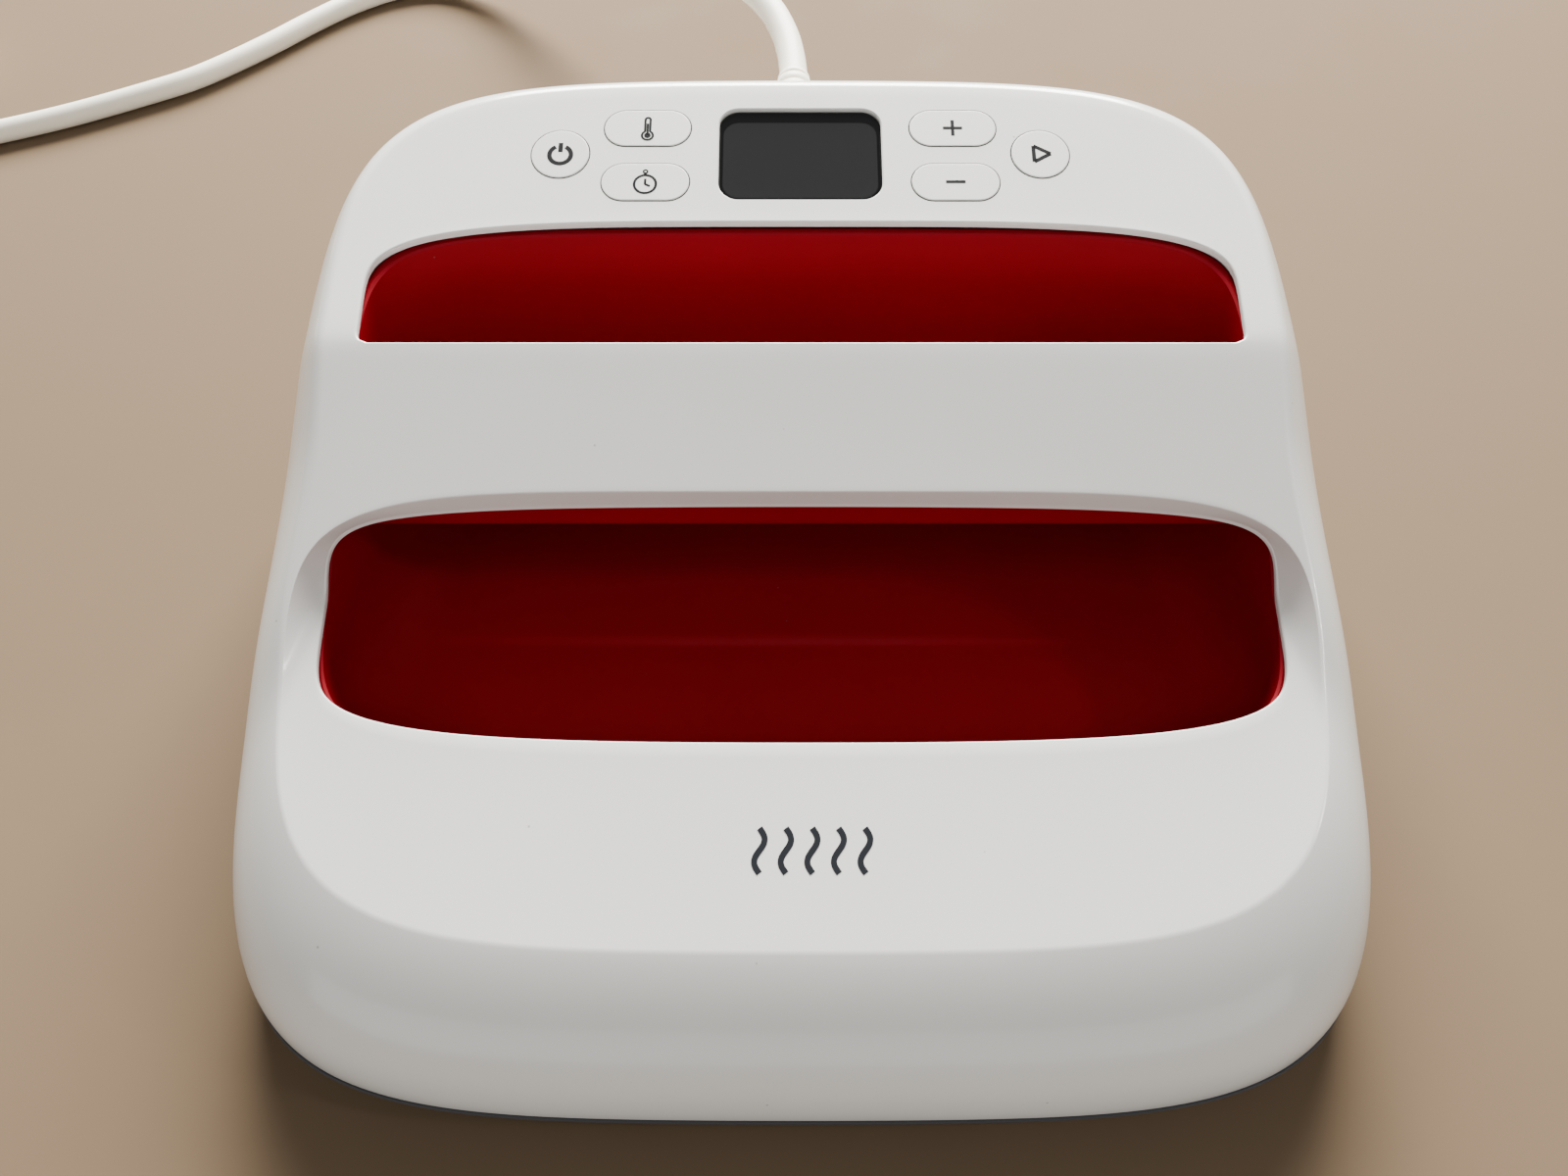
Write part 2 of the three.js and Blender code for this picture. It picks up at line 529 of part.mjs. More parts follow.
// ---- fasteners ----
function screw(head, headDepth, shaft, length) {
  const tip = length - 1.5;
  return turned([[0, 0], [head, 0], [head, headDepth], [shaft, headDepth + 0.1], [shaft, tip],
    [0, length]], 8);
}
for (const [i, [x, y]] of screwSpots.entries()) {
  addMesh(`housing_screw_${i + 1}`, screw(3.2, 2, 1.5, 20).translate(x, y, rim.bottomZ + 0.3), 'steel');
}
for (const [i, [x, y]] of wellSpots.entries()) {
  addMesh(`well_screw_${i + 1}`, screw(2.8, 1.6, 1.3, 7.4).translate(x, y, 21.1), 'steel');
}

export default press;
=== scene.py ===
# The looks of a hand-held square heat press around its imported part: glossy shell, red hand well, buttons, cord.
# Numbers are millimetres unless a name says otherwise. putMesh turns them into metres.
import math

import bmesh
import bpy
import numpy as np
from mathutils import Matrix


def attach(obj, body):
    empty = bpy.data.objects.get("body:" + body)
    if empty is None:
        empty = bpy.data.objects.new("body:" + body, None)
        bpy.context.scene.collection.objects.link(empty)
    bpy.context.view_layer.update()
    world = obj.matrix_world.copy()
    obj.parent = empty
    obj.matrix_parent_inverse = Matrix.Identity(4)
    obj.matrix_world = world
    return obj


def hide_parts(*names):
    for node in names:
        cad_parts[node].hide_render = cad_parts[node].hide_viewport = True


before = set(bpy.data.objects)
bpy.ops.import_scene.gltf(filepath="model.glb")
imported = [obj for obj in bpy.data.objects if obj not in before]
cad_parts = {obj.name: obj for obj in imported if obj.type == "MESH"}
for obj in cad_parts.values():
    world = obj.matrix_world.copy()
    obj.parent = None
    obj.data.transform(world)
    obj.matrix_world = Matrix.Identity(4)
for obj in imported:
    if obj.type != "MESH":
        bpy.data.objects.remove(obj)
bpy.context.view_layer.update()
metre = 0.001
print("stage: frame loaded")

# Camera.
view = {"place": (-0.004, -0.184, 0.285), "tiltDegrees": 35, "lens": 27, "sensor": 36}
camera = bpy.data.objects.new("viewCamera", bpy.data.cameras.new("viewCamera"))
bpy.context.collection.objects.link(camera)
camera.location = view["place"]
camera.rotation_euler = (math.radians(view["tiltDegrees"]), 0, 0)
camera.data.lens = view["lens"]
camera.data.sensor_width = view["sensor"]
camera.data.clip_start = 0.01
bpy.context.scene.camera = camera


# Helpers: curves and meshes.
def smoothstep(x, lo, hi):
    # 3t^2 - 2t^3, where t runs from 0 at lo to 1 at hi.
    t = np.clip((np.asarray(x, float) - lo) / (hi - lo), 0, 1)
    return t * t * (3 - 2 * t)


def bezier(p0, p1, p2, t):
    # Quadratic Bezier: (1-t)^2 p0 + 2t(1-t) p1 + t^2 p2.
    return (1 - t) ** 2 * p0 + 2 * t * (1 - t) * p1 + t * t * p2


def catmullRom(points, spacing):
    # Smooth curve through the points, then resampled to an even spacing along its length.
    p = np.asarray(points, float)
    p = np.vstack([2 * p[0] - p[1], p, 2 * p[-1] - p[-2]])
    t = np.linspace(0, 1, 40, endpoint=False)[:, None]
    parts = []
    for a, b, c, d in zip(p[:-3], p[1:-2], p[2:-1], p[3:]):
        square, cube = 2 * a - 5 * b + 4 * c - d, 3 * b - a - 3 * c + d
        parts.append(0.5 * (2 * b + (c - a) * t + square * t**2 + cube * t**3))
    return resample(np.vstack(parts + [p[-2][None]]), spacing)


def pathLength(points):
    # Sum of the straight steps between neighbouring points.
    return float(np.linalg.norm(np.diff(points, axis=0), axis=1).sum())


def resample(points, spacing):
    # The same line with points an even distance apart.
    along = np.concatenate([[0], np.cumsum(np.linalg.norm(np.diff(points, axis=0), axis=1))])
    count = max(2, int(round(along[-1] / spacing)) + 1)
    at = np.linspace(0, along[-1], count)
    return np.stack([np.interp(at, along, points[:, k]) for k in range(3)], axis=1)


def gridFaces(rows, cols, offset=0, wrap=False, flip=False):
    # Quads between neighbouring rows of points; wrap joins the last column to the first.
    index = np.arange(rows * cols).reshape(rows, cols) + offset
    if wrap:
        index = np.hstack([index, index[:, :1]])
    quads = np.stack([index[:-1, :-1], index[:-1, 1:], index[1:, 1:], index[1:, :-1]], axis=-1).reshape(-1, 4)
    return quads[:, ::-1] if flip else quads


def putMesh(name, points, faces, smoothAngle=30, merge=0.0, orient=True):
    # An object from points in millimetres; merge is the distance in millimetres under which points are joined.
    mesh = bpy.data.meshes.new(name)
    mesh.from_pydata((np.asarray(points) * metre).tolist(), [], [list(map(int, f)) for f in faces])
    work = bmesh.new()
    work.from_mesh(mesh)
    if merge:
        bmesh.ops.remove_doubles(work, verts=work.verts, dist=merge * metre)
        bmesh.ops.dissolve_degenerate(work, edges=work.edges, dist=merge * metre)
    if orient:
        bmesh.ops.recalc_face_normals(work, faces=work.faces)
    work.to_mesh(mesh)
    work.free()
    thing = bpy.data.objects.new(name, mesh)
    bpy.context.collection.objects.link(thing)
    shadeByAngle(thing, smoothAngle)
    return thing


def shadeByAngle(thing, degrees):
    mesh = thing.data
    mesh.polygons.foreach_set("use_smooth", np.ones(len(mesh.polygons), bool))
    mesh.set_sharp_from_angle(angle=math.radians(degrees))
    mesh.update()


def settle(thing):
    # Bakes the object's modifiers into its mesh.
    depsgraph = bpy.context.evaluated_depsgraph_get()
    baked = bpy.data.meshes.new_from_object(thing.evaluated_get(depsgraph))
    old = thing.data
    thing.modifiers.clear()
    thing.data = baked
    baked.name = thing.name
    bpy.data.meshes.remove(old)


def cutAway(thing, cutters):
    for cutter in cutters:
        hole = thing.modifiers.new("cut", "BOOLEAN")
        hole.operation = "DIFFERENCE"
        hole.solver = "EXACT"
        hole.object = cutter
    settle(thing)
    for cutter in cutters:
        bpy.data.objects.remove(cutter)


def loft(loops, capFirst=True, capLast=True):
    # A closed body from loops with equal point counts. Each end is closed by a fan to the loop's centre.
    loops = [np.asarray(loop, float) for loop in loops]
    n = len(loops[0])
    points = np.vstack(loops)
    faces = list(gridFaces(len(loops), n, wrap=True))
    for loop, offset, wanted in ((loops[0], 0, capFirst), (loops[-1], (len(loops) - 1) * n, capLast)):
        if wanted:
            points = np.vstack([points, loop.mean(axis=0)])
            hub = len(points) - 1
            faces += [[hub, offset + i, offset + (i + 1) % n] for i in range(n)]
    return points, faces


def turned(profile, sides):
    # Radius and height pairs turned about the Z axis.
    angle = np.linspace(0, 2 * math.pi, sides, endpoint=False)
    loops = [np.stack([r * np.cos(angle), r * np.sin(angle), np.full(sides, z)], axis=1) for r, z in profile]
    return loft(loops)


def roundedRect(w, h, r, cornerSteps=10):
    # Anticlockwise outline of a w by h rectangle with corners of radius r.
    parts = []
    for cx, cy, start in ((1, -1, -90), (1, 1, 0), (-1, 1, 90), (-1, -1, 180)):
        a = np.radians(np.linspace(start, start + 90, cornerSteps + 1))
        parts.append(np.stack([cx * (w / 2 - r) + r * np.cos(a), cy * (h / 2 - r) + r * np.sin(a)], axis=1))
    return np.vstack(parts)


def slabLoops(w, h, r, steps, cornerSteps=10):
    # Loops of a rounded slab; each step is (outset, height).
    return [np.column_stack([roundedRect(w + 2 * o, h + 2 * o, max(r + o, 0.05), cornerSteps),
                             np.full(4 * cornerSteps + 4, z)]) for o, z in steps]


def joinParts(parts):
    # One list of points and faces from several.
    points, faces, offset = [], [], 0
    for p, f in parts:
        points.append(np.asarray(p, float))
        faces += [[int(i) + offset for i in face] for face in f]
        offset += len(p)
    return np.vstack(points), faces


def stroke(points, width, z0, z1, closed=False):
    # A flat ribbon of the given width along a 2-D line, as a closed body from z0 to z1.
    p = np.asarray(points, float)
    if closed:
        tangent = np.roll(p, -1, axis=0) - np.roll(p, 1, axis=0)
    else:
        tangent = np.gradient(p, axis=0)
    tangent /= np.linalg.norm(tangent, axis=1, keepdims=True)
    side = np.column_stack([-tangent[:, 1], tangent[:, 0]]) * width / 2
    ring = [np.column_stack([p + side, np.full(len(p), z1)]), np.column_stack([p - side, np.full(len(p), z1)]),
            np.column_stack([p - side, np.full(len(p), z0)]), np.column_stack([p + side, np.full(len(p), z0)])]
    stack = np.stack(ring, axis=1)
    n = len(p)
    faces = (gridFaces(n + 1 if closed else n, 4, wrap=True) % (4 * n)).tolist()
    if not closed:
        faces += [[0, 3, 2, 1], [4 * n - 4, 4 * n - 3, 4 * n - 2, 4 * n - 1]]
    return stack.reshape(-1, 3), faces


def arcPoints(cx, cy, r, startDegrees, endDegrees, steps=32):
    # Points on a circle's arc about (cx, cy).
    a = np.radians(np.linspace(startDegrees, endDegrees, steps))
    return np.stack([cx + r * np.cos(a), cy + r * np.sin(a)], axis=1)


# Materials.
def linear(r, g, b):
    # Linear colour from display values of 0 to 255.
    c = np.array([r, g, b]) / 255
    return (*np.where(c <= 0.04045, c / 12.92, ((c + 0.055) / 1.055) ** 2.4).tolist(), 1.0)


finishes = {
    # name: colour 0-255, roughness, metallic, coat, mottle share, grain height mm, grain size per metre
    "shellWhite": ((232, 232, 228), 0.24, 0, 0.35, 0.025, 0.004, 500),
    "buttonWhite": ((226, 226, 222), 0.34, 0, 0.1, 0.02, 0.004, 700),
    "wellRed": ((136, 1, 22), 0.55, 0, 0.0, 0.10, 0.02, 900),
    "housingGrey": ((50, 51, 56), 0.5, 0, 0.0, 0.08, 0.02, 1200),
    "plateCoating": ((48, 48, 51), 0.38, 0.6, 0.0, 0.12, 0.008, 1500),
    "sheathSteel": ((120, 116, 110), 0.42, 1, 0.0, 0.2, 0.01, 300),
    "sheetAluminium": ((176, 178, 180), 0.36, 1, 0.0, 0.1, 0.01, 300),
    "insulationFibre": ((214, 206, 186), 0.95, 0, 0.0, 0.15, 0.08, 800),
    "windowDark": ((33, 33, 34), 0.07, 0, 0.0, 0.05, 0.0, 300),
    "windowBorder": ((9, 9, 10), 0.07, 0, 0.0, 0.05, 0.0, 300),
    "mouldingBlackAndGapShade": ((26, 26, 28), 0.55, 0, 0.0, 0.08, 0.02, 900),
    "switchBlack": ((32, 32, 34), 0.5, 0, 0.0, 0.06, 0.01, 900),
    "boardGreen": ((20, 84, 48), 0.45, 0, 0.2, 0.12, 0.01, 500),
    "cordWhite": ((244, 238, 222), 0.5, 0, 0.0, 0.07, 0.015, 700),
    "wireSilicone": ((206, 200, 190), 0.6, 0, 0.0, 0.06, 0.01, 900),
    "tieBlack": ((24, 24, 26), 0.6, 0, 0.0, 0.1, 0.02, 1500),
    "brassContact": ((196, 168, 104), 0.28, 1, 0.0, 0.12, 0.006, 300),
    "screwSteel": ((150, 152, 154), 0.32, 1, 0.0, 0.12, 0.006, 500),
    "iconInk": ((12, 13, 15), 0.5, 0, 0.0, 0.04, 0.0, 900),
    "markGrey": ((38, 40, 44), 0.5, 0, 0.0, 0.04, 0.0, 900),
    "floorPale": ((106, 89, 70), 0.9, 0, 0.0, 0.05, 0.05, 60),
}
# Specular levels below the usual 0.5.
dull = {"wellRed": 0.12, "floorPale": 0.15, "iconInk": 0.05, "markGrey": 0.05}
speckled = {"shellWhite": 85, "cordWhite": 160, "wellRed": 90}  # dust cells per metre


def makeMaterial(name):
    colour, roughness, metallic, coat, mottle, grain, grainSize = finishes[name]
    made = bpy.data.materials.new(name)
    made.use_nodes = True
    nodes, links = made.node_tree.nodes, made.node_tree.links
    shader = nodes["Principled BSDF"]
    shader.inputs["Metallic"].default_value = metallic
    shader.inputs["Specular IOR Level"].default_value = dull.get(name, 0.5)
    shader.inputs["Coat Weight"].default_value = coat
    shader.inputs["Coat Roughness"].default_value = 0.08
    where = nodes.new("ShaderNodeTexCoord").outputs["Object"]
    cloud = nodes.new("ShaderNodeTexNoise")
    cloud.inputs["Scale"].default_value = 22
    cloud.inputs["Detail"].default_value = 4
    links.new(where, cloud.inputs["Vector"])
    mix = nodes.new("ShaderNodeMix")
    mix.data_type = "RGBA"
    full = np.array(linear(*colour))
    mix.inputs["A"].default_value = (*(full[:3] * (1 - mottle)).tolist(), 1)
    mix.inputs["B"].default_value = (*np.minimum(full[:3] * (1 + mottle), 1).tolist(), 1)
    links.new(cloud.outputs["Fac"], mix.inputs["Factor"])
    links.new(mix.outputs["Result"], shader.inputs["Base Color"])
    if name in speckled:
        # Small dust marks: the few cell centres that lie on the surface.
        cells = nodes.new("ShaderNodeTexVoronoi")
        cells.inputs["Scale"].default_value = speckled[name]
        links.new(where, cells.inputs["Vector"])
        near = nodes.new("ShaderNodeMapRange")
        near.inputs["From Min"].default_value = 0.012
        near.inputs["From Max"].default_value = 0.03
        near.inputs["To Min"].default_value = 0.55
        near.inputs["To Max"].default_value = 0.0
        links.new(cells.outputs["Distance"], near.inputs["Value"])
        dust = nodes.new("ShaderNodeMix")
        dust.data_type = "RGBA"
        dust.inputs["B"].default_value = linear(112, 100, 84)
        links.new(near.outputs["Result"], dust.inputs["Factor"])
        links.new(mix.outputs["Result"], dust.inputs["A"])
        links.new(dust.outputs["Result"], shader.inputs["Base Color"])
    rough = nodes.new("ShaderNodeMapRange")
    rough.inputs["To Min"].default_value = roughness * 0.85
    rough.inputs["To Max"].default_value = min(1, roughness * 1.15)
    links.new(cloud.outputs["Fac"], rough.inputs["Value"])
    links.new(rough.outputs["Result"], shader.inputs["Roughness"])
    if grain:
        fine = nodes.new("ShaderNodeTexNoise")
        fine.inputs["Scale"].default_value = grainSize
        fine.inputs["Detail"].default_value = 3
        links.new(where, fine.inputs["Vector"])
        bump = nodes.new("ShaderNodeBump")
        bump.inputs["Distance"].default_value = grain * metre
        bump.inputs["Strength"].default_value = 1
        links.new(fine.outputs["Fac"], bump.inputs["Height"])
        links.new(bump.outputs["Normal"], shader.inputs["Normal"])
    return made


materials = {name: makeMaterial(name) for name in finishes}


def paint(thing, *names):
    thing.data.materials.clear()
    for name in names:
        thing.data.materials.append(materials[name])
    return thing


def placePiece(thing, finish, body, *nodes):
    if not thing.data.materials:
        paint(thing, finish)
    if nodes:
        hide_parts(*nodes)
    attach(thing, body)


print("stage: helpers and materials ready")

# Mains cord.
cord = {"diameter": 8.6, "length": 1900, "exit": (-1, 152, 78), "coilCentre": (-398, 258), "inner": 44,
        "outer": 52.6, "lift": 1.2, "turns": 4, "startDegrees": -67, "plugAt": (-463.4, 303.4, 11.5), "bevelSides": 8,
        "hiddenEnds": 20, "spacing": 3.0, "slack": 0.1}
floorLine = cord["diameter"] / 2 + cord["slack"]
freeRoute = [
    (-1, 140, 78), (-1, 152, 78), (-1.6, 163, 78.2), (-3.6, 176, 78.6), (-8, 190, 79), (-16, 206, 78), (-28, 224, 74),
    (-43, 245, 65.5), (-60, 267, 54), (-78, 290, 41), (-97, 311, 28.5), (-117, 329, 17.5), (-138, 343, 9.5),
    (-160, 349, 5.4), (-180, 343.5, floorLine), (-197, 331, floorLine), (-211, 316, floorLine),
    (-224, 300, floorLine), (-237, 285.5, floorLine), (-250, 273, floorLine), (-264, 263.5, floorLine),
    (-290.5, 248, floorLine), (-316, 236, floorLine), (-346.5, 223, floorLine + 0.6),
]


def coilRoute():
    # Clockwise turns: outer then inner on the floor, inner then outer above them, then up and off the left side.
    cx, cy = cord["coilCentre"]
    start = math.radians(cord["startDegrees"])
    total = cord["turns"] + (180 + cord["startDegrees"]) / 360
    turn = np.linspace(0, total, 260)
    low = cord["lift"] + cord["diameter"] / 2
    rise = cord["diameter"] + cord["slack"]
    isInner = smoothstep(turn, 0.88, 1.12) - smoothstep(turn, 2.88, 3.12)
    radius = cord["outer"] - (cord["outer"] - cord["inner"]) * isInner
    height = low + rise * (smoothstep(turn, 1.88, 2.12) + smoothstep(turn, 3.86, 4.08))
    angle = start - turn * 2 * math.pi
    return np.stack([cx + radius * np.cos(angle), cy + radius * np.sin(angle), height], axis=1)


coiled = coilRoute()
px, py, pz = cord["plugAt"]
topLine = coiled[-1][2]
tailRoute = [(coiled[-1][0] - 1.0, coiled[-1][1] + 10, topLine), (-455.4, 279, topLine - 3), (-460, 291, 15.6),
             (px + 0.3, 299.5, 12.2), (px, py, pz), (px, py + 8, pz)]
cordLine = catmullRom(np.vstack([freeRoute, coiled, tailRoute]), cord["spacing"])


def putCord(name, line, radius, sides):
    # A round bead carried along the line, closed at both ends.
    curve = bpy.data.curves.new(name, "CURVE")
    curve.dimensions = "3D"
    curve.bevel_depth = radius * metre
    curve.bevel_resolution = sides
    curve.use_fill_caps = True
    spline = curve.splines.new("POLY")
    spline.points.add(len(line) - 1)
    spline.points.foreach_set("co", np.column_stack([line * metre, np.ones(len(line))]).ravel())
    spline.use_smooth = True
    thing = bpy.data.objects.new(name, curve)
    bpy.context.collection.objects.link(thing)
    return thing


mainsCord = putCord("mainsCord", cordLine, cord["diameter"] / 2, cord["bevelSides"])
print("stage: cord length mm", round(pathLength(cordLine) - cord["hiddenEnds"], 1))
placePiece(mainsCord, "cordWhite", "housing", "cord", "cord_coil", "cord_tail")

# Tie: a flat strap hugging the coil's four strands at its right side.
tie = {"thick": 0.8, "width": 12, "gap": 0.15}


def strapAround():
    # A band round the four strands: an inner and an outer outline at each edge, joined in a ring.
    cx, cy = cord["coilCentre"]
    half = cord["diameter"] / 2 + tie["gap"]
    low = cord["lift"] + cord["diameter"] / 2
    high = low + cord["diameter"] + cord["slack"]
    corners = [(cord["outer"], low, -90), (cord["outer"], high, 0), (cord["inner"], high, 90),
               (cord["inner"], low, 180)]
    inner, outer = (np.vstack([arcPoints(r, z, reach, start, start + 90, 9) for r, z, start in corners])
                    for reach in (half, half + tie["thick"]))
    edge = tie["width"] / 2
    rings = [np.column_stack([cx + loop[:, 0], np.full(len(loop), cy + y), loop[:, 1]])
             for y, loop in ((-edge, inner), (-edge, outer), (edge, outer), (edge, inner))]
    n = len(inner)
    return np.vstack(rings), gridFaces(5, n, wrap=True) % (4 * n)


points, faces = strapAround()
coilTie = putMesh("coilTie", points, faces)
placePiece(coilTie, "tieBlack", "housing", "cord_tie")

# Plug: a moulded body whose neck takes the cord, two flat blades and a round earth pin.
plug = {"bladeX": 6.35, "bladeRise": 3.15, "pinDrop": 5.5}


def plugShape():
    # Cross-sections along the plug: width, height and corner radius eased from the neck to the face.
    stations = [(0, 9.4, 9.4, 4.7), (0.6, 10.2, 10.2, 5.1), (4, 10.6, 10.6, 5.3), (4.6, 9.8, 9.8, 4.9),
                (6, 9.8, 9.8, 4.9), (6.6, 11.2, 11, 5.5), (10, 11.6, 11.4, 5.6), (10.6, 10.6, 10.4, 5.2), (12, 10.6, 10.4, 5.2),
                (12.6, 12.2, 11.8, 5.8), (16, 12.8, 12.2, 6), (16.6, 11.8, 11.4, 5.7), (18, 12.4, 12, 5.9),
                (20, 15.5, 14.5, 6.6), (23, 20, 18, 6.8), (26, 22.6, 20, 6.6), (29, 23.7, 20.8, 6.2), (32, 24, 21, 6),
                (42.6, 24, 21, 6), (43.6, 23.4, 20.4, 5.7), (44, 22.4, 19.4, 5.2)]
    loops = []
    for y, w, h, r in stations:
        outline = roundedRect(w, h, min(r, w / 2 - 0.01, h / 2 - 0.01), 8)
        loops.append(np.column_stack([px + outline[:, 0], np.full(len(outline), py + y), pz + outline[:, 1]]))
    return loft(loops)


def bladeShape(x):
    # A flat blade with eased edges and a tapered tip.
    stations = [(43.5, 1.5, 6.3), (59.5, 1.5, 6.3), (61.2, 1.2, 5.6), (62, 0.7, 4.6)]
    loops = []
    for y, w, h in stations:
        outline = roundedRect(w, h, min(w, h) * 0.3, 3)
        rise = pz + plug["bladeRise"]
        loops.append(np.column_stack([px + x + outline[:, 0], np.full(len(outline), py + y), rise + outline[:, 1]]))
    return loft(loops)


plugMould = putMesh("plugMould", *plugShape(), smoothAngle=40)
placePiece(plugMould, "cordWhite", "housing", "plug_body")
pinPoints, pinFaces = turned([(2.4, 43.5), (2.4, 60.8), (2.2, 62.4), (1.5, 63.7), (0.6, 64.25)], 24)
pinPoints = np.column_stack([px + pinPoints[:, 0], py + pinPoints[:, 2], pz - plug["pinDrop"] + pinPoints[:, 1]])
plugPins = putMesh("plugPins", *joinParts([bladeShape(-plug["bladeX"]), bladeShape(plug["bladeX"]),
                                           (pinPoints, pinFaces)]))
placePiece(plugPins, "brassContact", "housing", "plug_blade_1", "plug_blade_2", "earth_pin")

# Strain relief: a flanged boot with six ribs, turned about the cord.
boot = {"radius": 6.1, "start": 108, "ribs": 6, "ribStart": 18, "ribPitch": 4.1, "ribTaper": 0.16}
bootProfile = [(7.4, 0), (8, 0.5), (8, 2.2), (7.6, 2.6), (6.3, 2.8), (boot["radius"], 3.2), (boot["radius"], 17)]
for k in range(boot["ribs"]):
    r, z = boot["radius"] - boot["ribTaper"] * k, boot["ribStart"] + boot["ribPitch"] * k
    bootProfile += [(r, z), (r, z + 2.1), (r - 0.25, z + 2.4), (r - 0.75, z + 2.5), (r - 0.75, z + 3.6),
                    (r - 0.3, z + 3.8)]
bootProfile += [(5.0, 42.8), (4.95, 43.6), (4.6, 44)]
points, faces = turned(bootProfile, 48)
exitX, _, exitZ = cord["exit"]
points = np.column_stack([exitX + points[:, 0], boot["start"] + points[:, 2], exitZ + points[:, 1]])
bootSleeve = putMesh("bootSleeve", points, faces, smoothAngle=40)
placePiece(bootSleeve, "cordWhite", "housing", "strain_relief")
print("stage: cord and plug made")

# Shell.
base = {"a": 135, "b": 132.8, "y": 0, "z": 12, "power": 5, "bow": 3}
ridge = {"a": 111.5, "flare": 4.8, "b": 99.3, "y": -7.8, "power": 5, "bow": 2.5}
frontHole = {"a": 109.7, "y": -36, "frontB": 28.5, "rearB": 24.1, "frontPower": 4.6, "rearPower": 5.4,
             "frontBow": 1.7, "rearBow": 1.3}
rearHole = {"a": 103.3, "straightY": 27, "b": 23.4, "power": 4.0, "corner": 3}
shell = {"skin": 1.3, "frontRound": 0.5, "rearRound": 1.8, "frontStart": 42, "rearStart": 18, "creaseRound": 0.9,
         "joinY": -38, "creaseY": -50, "creaseB": 36.7, "creasePower": 5.5, "barRear": 17.6, "lipDrop": 1.1,
         "barDrop": 5.5, "edgeRound": 0.5, "bandRise": 6}
slope = {"apron": 0.231, "bar": 0.532, "panel": 0.2623}


def squarePoint(h):
    # Half a square's outline from its front centre (h = 0) round the right side to its rear centre (h = 1).
    q = 4 * np.asarray(h, float)
    u = np.where(q <= 1, q, np.where(q <= 3, 1, 4 - q))
    v = np.where(q <= 1, -1, np.where(q <= 3, q - 2, 1))
    return u, v


def loopXY(u, v, loop, inset=0.0):
    # Superellipse |x/a|^n + |y/b|^n = 1 in the direction (u, v), bowed out at its front and rear.
    reach = (np.abs(u) ** loop["power"] + np.abs(v) ** loop["power"]) ** (-1 / loop["power"])
    p, q = reach * u, reach * v
    return (loop["a"] - inset) * p, loop["y"] + (loop["b"] - inset) * q - loop["bow"] * p * p * q**3


def smoothMax(p, q, k):
    # The larger of p and q, with the corner between them rounded by k.
    return (p + q + np.sqrt((p - q) ** 2 + k * k)) / 2


def apronHeight(y):
    return 55 + slope["apron"] * (y + 64)


def topHeight(y):
    # The panel's plane and the handle bar's plane meet in a valley; the apron's plane rises to meet the bar.
    onPanel = 115.1 - slope["panel"] * (91.5 - y)
    onBar = 79.3 + slope["bar"] * (y + 13)
    return smoothMax(apronHeight(y), -smoothMax(-onPanel, -onBar, 0.6), 2.5)


def ridgeXYZ(h, inset=0.0):
    u, v = squarePoint(h)
    x, y = loopXY(u, v, ridge, inset)
    x = x * (ridge["a"] + ridge["flare"] * smoothstep(-y, 0, 45) - inset) / (ridge["a"] - inset)
    return np.stack([x, y, topHeight(y)], axis=-1)


def skirtStart(h):
    return shell["frontStart"] + (shell["rearStart"] - shell["frontStart"]) * smoothstep(h, 0.27, 0.44)


def ridgeRound(h):
    return shell["frontRound"] + (shell["rearRound"] - shell["frontRound"]) * smoothstep(h, 0.33, 0.56)


def skirtPoint(h, share):
    # An ellipse's arc from the ridge (share 0) out and down to the foot (share 1), where it is upright.
    s = np.radians(skirtStart(h))
    a = s + (math.pi / 2 - s) * share
    out = (np.sin(a) - np.sin(s)) / (1 - np.sin(s))
    down = (np.cos(s) - np.cos(a)) / np.cos(s)
    top = ridgeXYZ(h)
    foot = np.stack(loopXY(*squarePoint(h), base), axis=-1)
    xy = top[:, :2] + (foot - top[:, :2]) * out[:, None]
    return np.column_stack([xy, top[:, 2] + (base["z"] - top[:, 2]) * down])


dense = np.linspace(0.2, 0.9, 6000)
denseY = ridgeXYZ(dense, ridgeRound(dense))[:, 1]
hJoin = float(np.interp(shell["joinY"], denseY, dense))
hBar = float(np.interp(shell["barRear"], denseY, dense))
counts = {"front": 84, "side": 26, "rear": 96, "crease": 72, "barEnd": 12}
hFront = np.linspace(0, hJoin, counts["front"] + 1)
hSide = np.linspace(hJoin, hBar, counts["side"] + 1)
hRear = np.linspace(hBar, 1, counts["rear"] + 1)
hAll = np.concatenate([hFront[:-1], hSide[:-1], hRear])


def rim(h):
    return ridgeXYZ(h, ridgeRound(h))


# Skirt rows: a round over the ridge, then the arc down to the foot.
roundShare = 0.025 * ridgeRound(hAll)
skirtRows = [bezier(rim(hAll), ridgeXYZ(hAll), skirtPoint(hAll, roundShare), t) for t in np.linspace(0, 1, 8)]
skirtRows += [skirtPoint(hAll, roundShare + (1 - roundShare) * s) for s in np.linspace(0, 1, 28)[1:]]
skirt = np.stack(skirtRows)

# Crease where the bar meets the lip: from the join on the rim to the bar's front centre.
joint = rim(np.array([hJoin]))[0]
q = np.linspace((joint[1] - shell["creaseY"]) / shell["creaseB"], 2, counts["crease"] + 1)
cu, cv = np.where(q <= 1, 1, 2 - q), np.where(q <= 1, q, 1)
reach = (cu ** shell["creasePower"] + cv ** shell["creasePower"]) ** (-1 / shell["creasePower"])
creaseY = shell["creaseY"] + shell["creaseB"] * reach * cv
creaseX = np.interp(creaseY, denseY, rim(dense)[:, 0]) * reach * cu / reach[0]
crease = np.column_stack([creaseX, creaseY, topHeight(creaseY)])
crease[0] = joint

